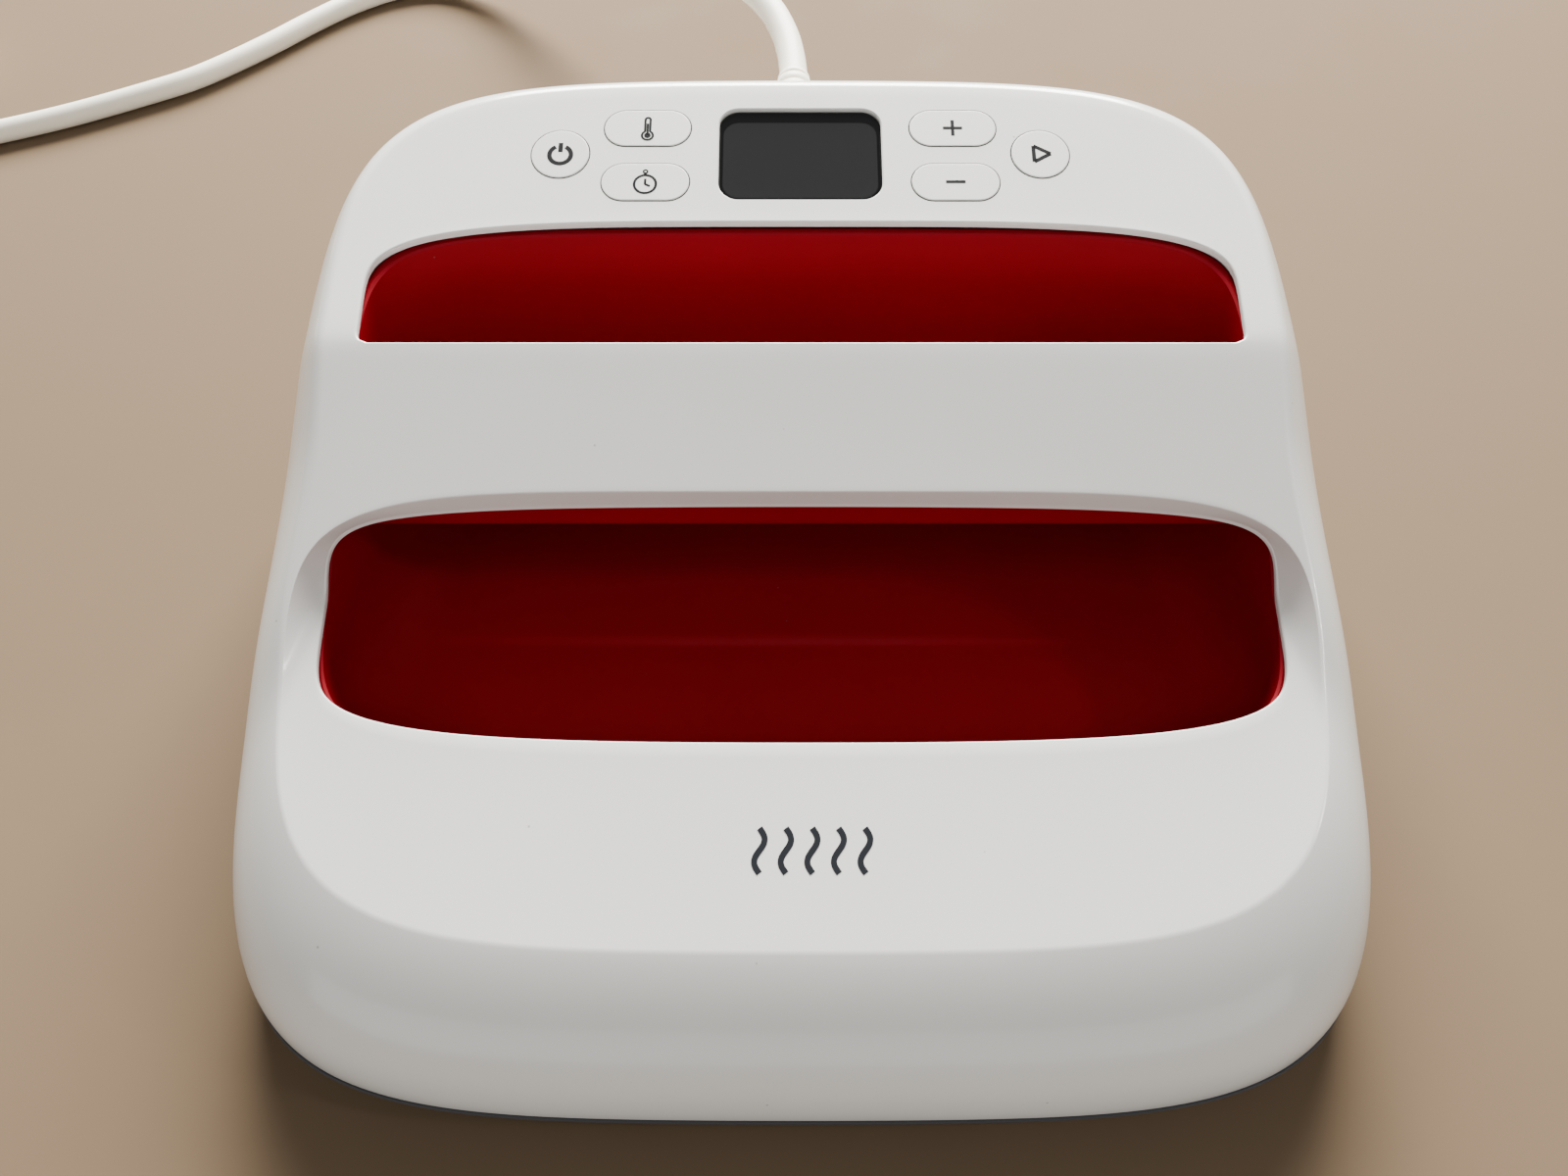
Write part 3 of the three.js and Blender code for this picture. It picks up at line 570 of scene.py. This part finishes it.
# Apron and lip: rows from the front hand opening's edge out to the rim and the crease.
outer = np.vstack([rim(hFront)[:-1], crease])
frontCount = counts["front"]
depthB = np.where(outer[:, 1] < shell["creaseY"], shell["creaseY"] - outer[0, 1], shell["creaseB"])
au, av = outer[:, 0] / outer[:, 0].max(), (outer[:, 1] - shell["creaseY"]) / depthB
holePower = np.where(av < 0, frontHole["frontPower"], frontHole["rearPower"])
holeReach = (np.abs(au) ** holePower + np.abs(av) ** holePower) ** (-1 / holePower)
edgeX = frontHole["a"] * holeReach * au
edgeY = frontHole["y"] + np.where(av < 0, frontHole["frontB"], frontHole["rearB"]) * holeReach * av
edgeY -= np.where(av < 0, frontHole["frontBow"], frontHole["rearBow"]) * (holeReach * au) ** 2 * (holeReach * av) ** 3
bandShare = smoothstep(edgeY, -32, -15)
edgeLift = shell["bandRise"] * bandShare
lift = outer[:, 2] - apronHeight(outer[:, 1])
t = np.linspace(0, 1, 15)[:, None]
apronX = edgeX * (1 - t) + outer[:, 0] * t
apronY = edgeY * (1 - t) + outer[:, 1] * t
apronZ = apronHeight(apronY) + edgeLift * (1 - t) + lift * t
apron = np.stack([apronX, apronY, apronZ], axis=-1)
apronFront, apronCrease = apron[:, :frontCount + 1], apron[:, frontCount:]

# Bar: rows from the crease (v = 0) to its rear edge (v = 1), columns from the centre to the rim (Coons blend).
creaseOut = crease[::-1]
barX0 = rearHole["a"] - rearHole["corner"]
rimBar = rim(np.array([hBar]))[0]
mainCols = counts["crease"] - counts["barEnd"]
topX = np.concatenate([np.linspace(0, barX0, mainCols + 1), np.linspace(barX0, rimBar[0], counts["barEnd"] + 1)[1:]])
topLine = np.column_stack([topX, np.full(len(topX), shell["barRear"])])
v = np.linspace(0, 1, counts["side"] + 1)[:, None]
share = np.linspace(0, 1, len(topX))[None, :, None] ** 3
sideLine = rim(hSide)[:, :2]
flat = creaseOut[None, :, :2] * (1 - v[..., None]) + topLine[None] * v[..., None]
straight = creaseOut[-1, :2] * (1 - v) + topLine[-1] * v
flat = flat + share * (sideLine - straight)[:, None, :]
bar = np.concatenate([flat, topHeight(flat[..., 1:])], axis=-1)


def roundSeam(gridA, gridB, radius):
    # Both grids end on one shared seam. Replaces the seam by a round whose middle both grids share.
    seam = gridA[-1]
    out = []
    reachA = gridA[-2] - seam
    reachB = gridB[-2] - seam
    lengthA = np.linalg.norm(reachA, axis=1, keepdims=True)
    lengthB = np.linalg.norm(reachB, axis=1, keepdims=True)
    r = np.minimum(radius[:, None], 0.7 * np.minimum(lengthA, lengthB))
    pa = seam + reachA / np.maximum(lengthA, 1e-9) * r
    pb = seam + reachB / np.maximum(lengthB, 1e-9) * r
    for grid, first, last in ((gridA, pa, pb), (gridB, pb, pa)):
        rounds = [bezier(first, seam, last, s) for s in (0, 1 / 6, 1 / 3, 0.5)]
        out.append(np.concatenate([grid[:-1], np.stack(rounds)]))
    return out


fromJoin = np.concatenate([[0], np.cumsum(np.linalg.norm(np.diff(crease, axis=0), axis=1))])
seamRound = shell["creaseRound"] * smoothstep(fromJoin, 0, 14)
barFlipped, apronCrease = roundSeam(bar[::-1][:, ::-1], apronCrease, seamRound)

# Panel: rows from the rear hand opening's edge out to the rim.
corner = arcPoints(barX0, shell["barRear"] + rearHole["corner"], rearHole["corner"], -90, 0, 12)
rise = np.column_stack([np.full(4, rearHole["a"]), np.linspace(corner[-1, 1], rearHole["straightY"], 5)[1:]])
a = np.linspace(0, math.pi / 2, 400)[1:]
ca, sa = np.cos(a), np.sin(a)
r = (ca ** rearHole["power"] + sa ** rearHole["power"]) ** (-1 / rearHole["power"])
arch = np.column_stack([rearHole["a"] * r * ca, rearHole["straightY"] + rearHole["b"] * r * sa])
arch[-1, 0] = 0
holePath = np.vstack([corner, rise, arch])
holeDepth = 30.6   # only spreads the columns evenly
holeAngle = np.arctan2((holePath[:, 1] - shell["barRear"]) / holeDepth, holePath[:, 0] / rearHole["a"])
rearRim = rim(hRear)
rimDepth = rearRim[-1, 1] - shell["barRear"]
rimAngle = np.arctan2((rearRim[:, 1] - shell["barRear"]) / rimDepth, rearRim[:, 0] / rimBar[0])
holeXY = np.column_stack([np.interp(rimAngle, holeAngle, holePath[:, k]) for k in (0, 1)])
holeXY[0] = (barX0, shell["barRear"])
holeXY[-1, 0] = 0
t = np.linspace(0, 1, counts["barEnd"] + 1)[:, None, None]
panelXY = holeXY[None] * (1 - t) + rearRim[None, :, :2] * t
panel = np.concatenate([panelXY, topHeight(panelXY[..., 1:])], axis=-1)


def edgeFlange(edge, inward, drop, roundShare, rows=5):
    # From an opening's edge: a small round towards the opening, then straight down.
    r = shell["edgeRound"]
    grid = []
    for a in np.linspace(0, math.pi / 2, rows):
        step = inward * (r * math.sin(a) * roundShare)[:, None]
        grid.append(np.column_stack([edge[:, :2] + step, edge[:, 2] - r * (1 - math.cos(a))]))
    last = grid[-1].copy()
    for s in (0.5, 1):
        lower = last.copy()
        lower[:, 2] -= drop * s
        grid.append(lower)
    return np.stack(grid)


def inwardOf(path):
    # The path's tangent turned a quarter to the left, and square to the mirror plane at both ends.
    tangent = np.gradient(path[:, :2], axis=0)
    tangent /= np.linalg.norm(tangent, axis=1, keepdims=True)
    inward = np.column_stack([-tangent[:, 1], tangent[:, 0]])
    for end in (0, -1):
        inward[end] = (0, np.sign(inward[end, 1]))
    return inward


barEdge = bar[-1, :mainCols + 1]
rearPath = np.vstack([barEdge[:-1], panel[0]])
# The wall under the bar's rear edge is deep, and eases to the lip's depth near the opening's ends.
isBar = (1 - smoothstep(rearPath[:, 0], 88, 97)) * (rearPath[:, 1] < shell["barRear"] + 1.4)
drop = shell["lipDrop"] + (shell["barDrop"] - shell["lipDrop"]) * isBar
rearFlange = edgeFlange(rearPath, inwardOf(rearPath), drop, np.ones(len(rearPath)))
frontPath = apron[0]
frontFlange = edgeFlange(frontPath, inwardOf(frontPath), shell["lipDrop"] * (1 - 0.6 * bandShare), 1 - bandShare)

halfPatches = [skirt, apronFront, apronCrease, barFlipped, panel, rearFlange, frontFlange]
points, faces = [], []
for grid in halfPatches:
    for side in (1, -1):
        rows, cols = grid.shape[:2]
        faces += gridFaces(rows, cols, sum(map(len, points)), flip=side < 0).tolist()
        points.append(grid.reshape(-1, 3) * (side, 1, 1))
shellPiece = putMesh("shellPiece", np.vstack(points), faces, merge=0.004)


def faceUp(thing, pick):
    # Turns all faces over if the highest one (pick is max) or the lowest one (pick is min) looks down.
    work = bmesh.new()
    work.from_mesh(thing.data)
    chosen = pick(work.faces, key=lambda f: f.calc_center_median().z)
    if chosen.normal.z < 0:
        bmesh.ops.reverse_faces(work, faces=work.faces)
    work.to_mesh(thing.data)
    work.free()


faceUp(shellPiece, max)
skin = shellPiece.modifiers.new("skin", "SOLIDIFY")
skin.thickness = shell["skin"] * metre
skin.offset = -1
settle(shellPiece)

# Control panel's own frame: its tilt and its origin.
tilt = math.atan(slope["panel"])
panelOrigin = np.array([0, 70, float(topHeight(np.array(70.0)))])


def onPanel(points):
    # From the panel's frame to the object's: a turn about X by the tilt, then a shift.
    p = np.asarray(points, float)
    y = p[:, 1] * math.cos(tilt) - p[:, 2] * math.sin(tilt)
    z = p[:, 1] * math.sin(tilt) + p[:, 2] * math.cos(tilt)
    return np.column_stack([p[:, 0], y, z]) + panelOrigin


window = {"w": 40.1, "h": 27.3, "r": 5, "y": -0.5, "recess": 0.9, "thick": 1.4, "gap": 0.15, "chamfer": 0.3,
          "border": 0.9, "borderTop": 3.4}
buttons = {
    "power": (-59, -0.8, 14.2, 14.2), "temperature": (-37.8, 7.1, 21.4, 10.8), "timer": (-37.8, -9.2, 21.4, 10.8),
    "plus": (37.8, 7.1, 21.4, 10.8), "minus": (37.8, -9.2, 21.4, 10.8), "start": (59, -0.8, 14.2, 14.2),
}
cap = {"gap": 0.26, "proud": 0.14, "depth": 4, "round": 0.2, "skirt": 1.2, "skirtThick": 1, "ease": 0.12,
       "cornerSteps": 14}


def panelCutter(x, y, w, h, r, steps):
    # A rounded slab that stands square to the panel.
    points, faces = loft(slabLoops(w, h, r, steps))
    return putMesh("cutter", onPanel(points + (x, y, 0)), faces)


gap, ease = cap["gap"], cap["ease"]
capSteps = [(gap, -6), (gap, -ease), (gap + ease, 0.0), (gap + ease, 3)]
cutters = [panelCutter(x, y, w, h, h / 2, capSteps) for x, y, w, h in buttons.values()]
cutters.append(panelCutter(0, window["y"], window["w"], window["h"], window["r"],
                           [(0, -6), (0, -window["chamfer"]), (window["chamfer"], 0.0), (window["chamfer"], 3)]))
# The boot's hole, through the rear wall.
bootHole = {"radius": 6.6, "half": 20, "y": 122}
points, faces = turned([(bootHole["radius"], -bootHole["half"]), (bootHole["radius"], bootHole["half"])], 48)
points = np.column_stack([points[:, 0] + exitX, points[:, 2] + bootHole["y"], points[:, 1] + exitZ])
cutters.append(putMesh("cutter", points, faces))
cutAway(shellPiece, cutters)
shadeByAngle(shellPiece, 28)
placePiece(shellPiece, "shellWhite", "housing", "top_shell")
print("stage: shell made, faces", len(shellPiece.data.polygons))

# Window pane.
w, h, r = (window[key] - share * window["gap"] for key, share in (("w", 2), ("h", 2), ("r", 1)))
top, bottom = -window["recess"], -window["recess"] - window["thick"]
loops = slabLoops(w, h, r, [(-0.3, bottom), (0, bottom + 0.3), (0, top - 0.2), (-0.06, top - 0.06), (-0.2, top),
                          (-0.4, top)])
for border in (window["border"], window["border"] + 0.3):
    # The dark printed border is wider at the top, so the clear part sits a little lower.
    extra = window["borderTop"] - window["border"]
    clear = roundedRect(w - 2 * border, h - 2 * border - extra, r - border) + (0, -extra / 2)
    loops.append(np.column_stack([clear, np.full(len(clear), top)]))
points, faces = loft(loops)
windowPane = putMesh("windowPane", onPanel(points + (0, window["y"], 0)), faces)
paint(windowPane, "windowBorder", "windowDark")
sides = len(loops[0])
marks = np.zeros(len(faces), np.int32)
marks[6 * sides:7 * sides] = marks[-sides:] = 1
windowPane.data.polygons.foreach_set("material_index", marks)
placePiece(windowPane, "windowDark", "housing", "display_window")

# Buttons with printed icons.
inkTop, inkBottom = cap["proud"] + 0.03, cap["proud"] - 0.3


def ink(points, width, closed=False):
    # A printed line that starts inside the cap and ends just above it.
    return stroke(points, width, inkBottom, inkTop, closed)


def line(x0, y0, x1, y1, width):
    return ink([(x0, y0), (x1, y1)], width)


def thermometer():
    bulb = arcPoints(0, -2.3, 1.35, 118, 422, 26)
    tip = arcPoints(0, 2.5, 0.64, 0, 180, 10)
    body = np.vstack([bulb, tip])
    return [ink(body, 0.6, True), line(0, -2.3, 0, 1.4, 0.6), ink(arcPoints(0, -2.3, 0.45, 0, 330, 12), 0.8, True)]


def stopwatch():
    return [ink(arcPoints(0, -0.7, 2.65, 0, 351, 40), 0.65, True), line(0, 1.9, 0, 2.8, 0.7),
            ink(arcPoints(0, 3.0, 0.5, 0, 330, 12), 0.45, True), line(0, -0.8, 0, 0.9, 0.6),
            line(0, -0.7, 1.2, -1.3, 0.6)]


icons = {
    "power": [ink(arcPoints(0, -0.3, 2.65, 117, 423, 40), 1.15), line(0, 0.5, 0, 3.3, 1.1)],
    "temperature": thermometer(),
    "timer": stopwatch(),
    "plus": [line(-2.4, 0, 2.4, 0, 0.85), line(0, -2.4, 0, 2.4, 0.85)],
    "minus": [line(-2.4, 0, 2.4, 0, 0.85)],
    "start": [line(-1.6, -2.4, -1.6, 2.4, 1.0), line(-1.6, 2.4, 2.5, 0, 1.0), line(-1.6, -2.4, 2.5, 0, 1.0)],
}
for name, (x, y, w, h) in buttons.items():
    top, edge = cap["proud"], cap["round"]
    skirtTop = -cap["depth"] + cap["skirtThick"]
    steps = [(cap["skirt"], -cap["depth"]), (cap["skirt"], skirtTop), (0, skirtTop)]
    steps += [(-edge * (1 - math.cos(a)), top - edge * (1 - math.sin(a))) for a in np.linspace(0, math.pi / 2, 6)]
    steps.append((-edge - 0.15, top))
    capLoops = slabLoops(w, h, h / 2 - 0.01, steps, cap["cornerSteps"])
    capPoints, capFaces = loft(capLoops)
    points, faces = joinParts([(capPoints, capFaces)] + icons[name])
    piece = putMesh(name + "Cap", onPanel(points + (x, y, 0)), faces, smoothAngle=35)
    # The third finish is black moulding, used on the caps as painted shade in the gap round each cap.
    paint(piece, "buttonWhite", "iconInk", "mouldingBlackAndGapShade")
    marks = np.zeros(len(faces), np.int32)
    marks[:3 * len(capLoops[0])] = 2   # painted shade: the flange and the side wall take the black moulding finish so the gap round the cap reads dark
    marks[len(capFaces):] = 1
    piece.data.polygons.foreach_set("material_index", marks)
    placePiece(piece, "buttonWhite", name + "_key", name + "_button")
print("stage: panel pieces made")

# Hand well.
well = {"a": 103.2, "flare": 6.3, "b": 56.2, "y": -8, "power": 7, "bow": 0.8, "floor": 30, "bendTop": 50, "bend": 15,
        "underSkin": 2.0, "thick": 1.6}


def wellTop(y):
    # Beside the front opening the wall stays below the lip; from the bar back it follows the shell's underside.
    underLip = apronHeight(y) + shell["bandRise"] * smoothstep(y, -32, -15) - 0.6
    s = smoothstep(y, -12, -4)
    return underLip * (1 - s) + topHeight(y) * s - well["underSkin"]


def wellLoop(inset, height):
    # A whole loop of the well's wall; it widens towards the front. height None follows the shell's underside.
    h = np.linspace(0, 1, 141)
    u, v = squarePoint(h)
    x, y = loopXY(u, v, well, inset)
    x = x * (well["a"] + well["flare"] * smoothstep(-y, -25, 36) - inset) / (well["a"] - inset)
    top = wellTop(y)
    z = top if height is None else np.minimum(np.full(len(y), float(height)), top - 0.4)
    half = np.column_stack([x, y, z])
    return np.vstack([half, half[-2:0:-1] * (-1, 1, 1)])


loops = [wellLoop(-2.2, None), wellLoop(-0.5, None), wellLoop(0, None)]
loops[0][:, 2] -= 0.5
loops[2][:, 2] -= 0.35
topLoop = loops[2]
for s in (0.33, 0.66):
    loops.append(topLoop * (1 - s) + wellLoop(0, well["bendTop"]) * s)
for a in np.linspace(0, math.pi / 2, 14):
    height = well["floor"] + (well["bendTop"] - well["floor"]) * (1 - math.sin(a))
    loops.append(wellLoop(well["bend"] * (1 - math.cos(a)), height))
floorLoop = loops[-1]
middle = np.array([0, well["y"], well["floor"]])
for s in (0.8, 0.55, 0.3, 0.1):
    loops.append(middle + (floorLoop - middle) * s)
points, faces = loft(loops, capFirst=False)
wellPiece = putMesh("wellPiece", points, faces, merge=0.004)
faceUp(wellPiece, min)
skin = wellPiece.modifiers.new("skin", "SOLIDIFY")
skin.thickness = well["thick"] * metre
skin.offset = -1
settle(wellPiece)
shadeByAngle(wellPiece, 35)
placePiece(wellPiece, "wellRed", "housing", "hand_well")

# Handle's lower cover: a U channel with rounded corners, extruded across.
cover = {"front": -10.7, "rear": 15.6, "frontZ": 64, "belly": 62, "thick": 2, "reach": 101.5, "under": 2.3}


def roundCorners(points, radii, steps=5):
    # Replaces each corner of a closed 2-D outline by a Bezier of about that radius.
    p = np.asarray(points, float)
    out = []
    for i, r in enumerate(radii):
        before, here, after = p[i - 1], p[i], p[(i + 1) % len(p)]
        toBefore, toAfter = before - here, after - here
        lb, la = np.linalg.norm(toBefore), np.linalg.norm(toAfter)
        cut = min(r, 0.45 * lb, 0.45 * la)
        first, last = here + toBefore / lb * cut, here + toAfter / la * cut
        out += [bezier(first, here, last, s) for s in np.linspace(0, 1, steps)]
    return np.array(out)


f, b, th = cover["front"], cover["rear"], cover["thick"]
zf = float(topHeight(np.array(f))) - cover["under"]
zb = float(topHeight(np.array(b))) - cover["under"]
low = cover["belly"]
outline = roundCorners([(f, zf), (f, cover["frontZ"]), (f + 2.4, low), (b - 6, low + 1.5), (b, low + 8), (b, zb),
                        (b - th, zb - 1), (b - th, low + 9), (b - 7, low + 3.5), (f + 3.6, low + th),
                        (f + th, cover["frontZ"] + 3), (f + th, zf + 0.6)],
                       [0.3, 1.0, 1.5, 5, 5, 0.3, 0.3, 3, 3, 1.5, 1, 0.3])
loops = []
centre = outline.mean(axis=0)
for x, size in ((-1, 0.995), (-0.998, 1), (-0.5, 1), (0, 1), (0.5, 1), (0.998, 1), (1, 0.995)):
    ring = centre + (outline - centre) * size
    loops.append(np.column_stack([np.full(len(ring), x * cover["reach"]), ring]))
n = len(outline)
points = np.vstack(loops)
faces = gridFaces(len(loops), n, wrap=True).tolist() + [list(range(n)), list(range(len(points) - n, len(points)))]
handleCover = putMesh("handleCover", points, faces, smoothAngle=40)
placePiece(handleCover, "wellRed", "housing", "handle_lower_cover")
print("stage: well and cover made")

# Lower housing and heated plate.
housing = {"bottom": 5, "web": (23, 25), "inner": 115.3, "outer": 117.5, "corner": 21, "top": 11.7}
screwSpots = [(125.5, 0), (-125.5, 0), (62, 123.5), (-62, 123.5), (62, -123.5), (-62, -123.5)]


def fullLoop(h, xy, z):
    # Half an outline at one height and its mirror image, as one loop.
    half = np.column_stack([xy, np.full(len(h), z)])
    return np.vstack([half, half[-2:0:-1] * (-1, 1, 1)])


def baseLoop(inset, z):
    # The shell's foot outline, moved inwards by inset.
    h = np.linspace(0, 1, 121)
    return fullLoop(h, np.stack(loopXY(*squarePoint(h), base, inset), axis=-1), z)


def squareLoop(half, corner, z):
    # A rounded square met by rays in the same directions as the base loop's points.
    h = np.linspace(0, 1, 121)
    d = np.stack(squarePoint(h), axis=-1)
    centre = (half - corner) * np.sign(d)
    dc, dd = (d * centre).sum(1), (d * d).sum(1)
    root = np.sqrt(np.maximum(dc**2 - dd * ((centre**2).sum(1) - corner**2), 0))
    inCorner = (np.abs(d * half) > half - corner).all(axis=1)
    s = np.where(inCorner, (dc + root) / dd, half)
    return fullLoop(h, d * s[:, None], z)


inner, outerWall, bend = housing["inner"], housing["outer"], housing["corner"]
bottom, top, (webLow, webHigh) = housing["bottom"], housing["top"], housing["web"]
loops = [squareLoop(40, 15, webLow), squareLoop(inner - 3, bend - 3, webLow), squareLoop(inner, bend, webLow - 3),
         squareLoop(inner, bend, bottom + 0.8), squareLoop(inner + 0.8, bend + 0.8, bottom), baseLoop(3.4, bottom),
         baseLoop(2.2, bottom + 0.4), baseLoop(1.1, bottom + 1.6), baseLoop(-0.35, 9.4), baseLoop(-0.6, 11.2),
         baseLoop(-0.3, top), baseLoop(2.5, top), baseLoop(2.6, 10.4), squareLoop(outerWall, bend + 2, 10.2),
         squareLoop(outerWall, bend + 2, webHigh), squareLoop(40, 15, webHigh)]
points, faces = loft(loops)
housingTray = putMesh("housingTray", points, faces, merge=0.002)
cutters = []
for x, y in screwSpots:
    points, faces = turned([(3.6, 0), (3.6, 7.6), (1.8, 7.7), (1.8, 30)], 32)
    cutters.append(putMesh("cutter", points + (x, y, 0), faces))
points, faces = loft(slabLoops(60, 28, 3, [(0, 20), (0, 30)]))
cutters.append(putMesh("cutter", points + (0, 98, 0), faces))
cutAway(housingTray, cutters)
shadeByAngle(housingTray, 32)
placePiece(housingTray, "housingGrey", "housing", "bottom_housing")

plate = {"side": 228, "corner": 20, "thick": 8, "round": 1.2}
s, r = plate["side"], plate["round"]
steps = [(-40, 0.0), (-r, 0.0)]
steps += [(-r * (1 - math.sin(a)), r * (1 - math.cos(a))) for a in np.linspace(0.3, math.pi / 2, 5)]
steps += [(0, plate["thick"] - 0.6), (-0.6, plate["thick"]), (-40, plate["thick"])]
loops = []
for o, z in steps:
    outline = roundedRect(s + 2 * o, s + 2 * o, max(plate["corner"] + o, 4), 12)
    loops.append(np.column_stack([outline, np.full(len(outline), z)]))
pressPlate = putMesh("pressPlate", *loft(loops), smoothAngle=30)
placePiece(pressPlate, "plateCoating", "housing", "heat_plate")

for i, (x, y) in enumerate(screwSpots, 1):
    # A pan-head screw, head down, with a cross recess.
    points, faces = turned([(0.4, 5.3), (2.2, 5.3), (2.9, 5.7), (3.2, 6.4), (3.2, 7.2), (3.0, 7.3), (1.5, 7.35),
                            (1.5, 24), (0.9, 25)], 32)
    head = putMesh("housingScrew%d" % i, points + (x, y, 0), faces)
    slots = [putMesh("cutter", *loft([np.column_stack([roundedRect(w, h, 0.2, 3) + (x, y), np.full(16, z)])
                                      for z in (4.5, 6.3)])) for w, h in ((3.6, 0.8), (0.8, 3.6))]
    cutAway(head, slots)
    shadeByAngle(head, 35)
    placePiece(head, "screwSteel", "housing", "housing_screw_%d" % i)
print("stage: housing and plate made")

# Generic printed mark on the apron: five rising waves.
mark = {"x": 2, "y": -87, "waves": 5, "pitch": 5.6, "sway": 1.1, "half": 4.6, "width": 1.3, "proud": 0.16,
        "sunk": 0.3}
along = np.linspace(-1, 1, 40)
waves = []
for k in range(mark["waves"]):
    # Each wave is one period of a sine, upright on the apron.
    x = mark["x"] + mark["pitch"] * (k - (mark["waves"] - 1) / 2) + mark["sway"] * np.sin(along * math.pi)
    w, wf = stroke(np.column_stack([x, mark["y"] + mark["half"] * along]), mark["width"], 0, 1)
    w[:, 2] = apronHeight(w[:, 1]) + np.where(w[:, 2] > 0.5, mark["proud"], -mark["sunk"])
    waves.append((w, wf))
apronMark = putMesh("apronMark", *joinParts(waves))
paint(apronMark, "markGrey")
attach(apronMark, "housing")

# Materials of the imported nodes.
nodeFinish = {
    "top_shell": "shellWhite", "hand_well": "wellRed", "handle_lower": "wellRed",
    "bottom_housing": "housingGrey", "heat_plate": "plateCoating", "heating_element": "sheathSteel",
    "plate_insulation": "insulationFibre", "heat_shield": "sheetAluminium", "plate_spacer": "insulationFibre",
    "temperature_sensor": "sheetAluminium", "thermal_fuse": "sheetAluminium", "display_window": "windowDark",
    "display_module": "mouldingBlackAndGapShade", "control_board": "boardGreen", "power_board": "boardGreen",
    "transformer": "mouldingBlackAndGapShade", "relay": "mouldingBlackAndGapShade", "filter_capacitor": "mouldingBlackAndGapShade",
    "terminal_block": "mouldingBlackAndGapShade", "triac": "sheetAluminium", "heater_lead": "wireSilicone",
    "ribbon_cable": "wireSilicone", "mains_lead": "cordWhite", "strain_relief": "cordWhite",
    "cord_tie": "tieBlack", "cord": "cordWhite", "plug_body": "cordWhite", "plug_blade": "brassContact",
    "earth_pin": "brassContact", "housing_screw": "screwSteel", "well_screw": "screwSteel",
}
for name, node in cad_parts.items():
    if name.endswith("_button"):
        finish = "buttonWhite"
    elif name.endswith("_switch"):
        finish = "switchBlack"
    else:
        finish = next(nodeFinish[key] for key in nodeFinish if name.startswith(key))
    paint(node, finish)

# Floor and light.
ground = {"half": 12000, "drop": 0.2}
corners = [(x * ground["half"], y * ground["half"], -ground["drop"]) for x, y in ((-1, -1), (1, -1), (1, 1), (-1, 1))]
floor = putMesh("floor", corners, [(0, 1, 2, 3)], orient=False)
paint(floor, "floorPale")


def areaLight(name, place, target, size, power, colour):
    light = bpy.data.lights.new(name, "AREA")
    light.shape = "RECTANGLE"
    light.size, light.size_y = size
    light.energy = power
    light.color = colour
    thing = bpy.data.objects.new(name, light)
    bpy.context.collection.objects.link(thing)
    back = np.array(place) - np.array(target)
    back = back / np.linalg.norm(back)
    thing.location = place
    thing.rotation_euler = (math.acos(back[2]), 0, math.atan2(back[0], -back[1]))
    return thing


lamps = {
    # name: place, target and size in metres, power in watts, colour
    "rearSoftbox": ((0.1, 2.0, 1.25), (0, 0, 0.05), (1.6, 1.3), 425, (1, 0.985, 0.955)),
    "frontSoftbox": ((-0.2, -1.0, 2.0), (0, 0, 0.05), (1.6, 1.2), 10, (1, 0.98, 0.96)),
    "lowFill": ((0, -2.0, 0.35), (0, 0, 0.03), (5.0, 0.7), 18, (1, 0.985, 0.97)),
    "rightLamp": ((1.2, -0.25, 0.9), (0.1, -0.05, 0.05), (0.12, 0.12), 2.5, (1, 0.98, 0.95)),
}
for name, lamp in lamps.items():
    areaLight(name, *lamp)
room = {"colour": (0.84, 0.82, 0.80, 1), "strength": 0.3}
world = bpy.data.worlds.new("room")
bpy.context.scene.world = world
world.use_nodes = True
world.node_tree.nodes["Background"].inputs["Color"].default_value = room["colour"]
world.node_tree.nodes["Background"].inputs["Strength"].default_value = room["strength"]
print("stage: floor and lights made")
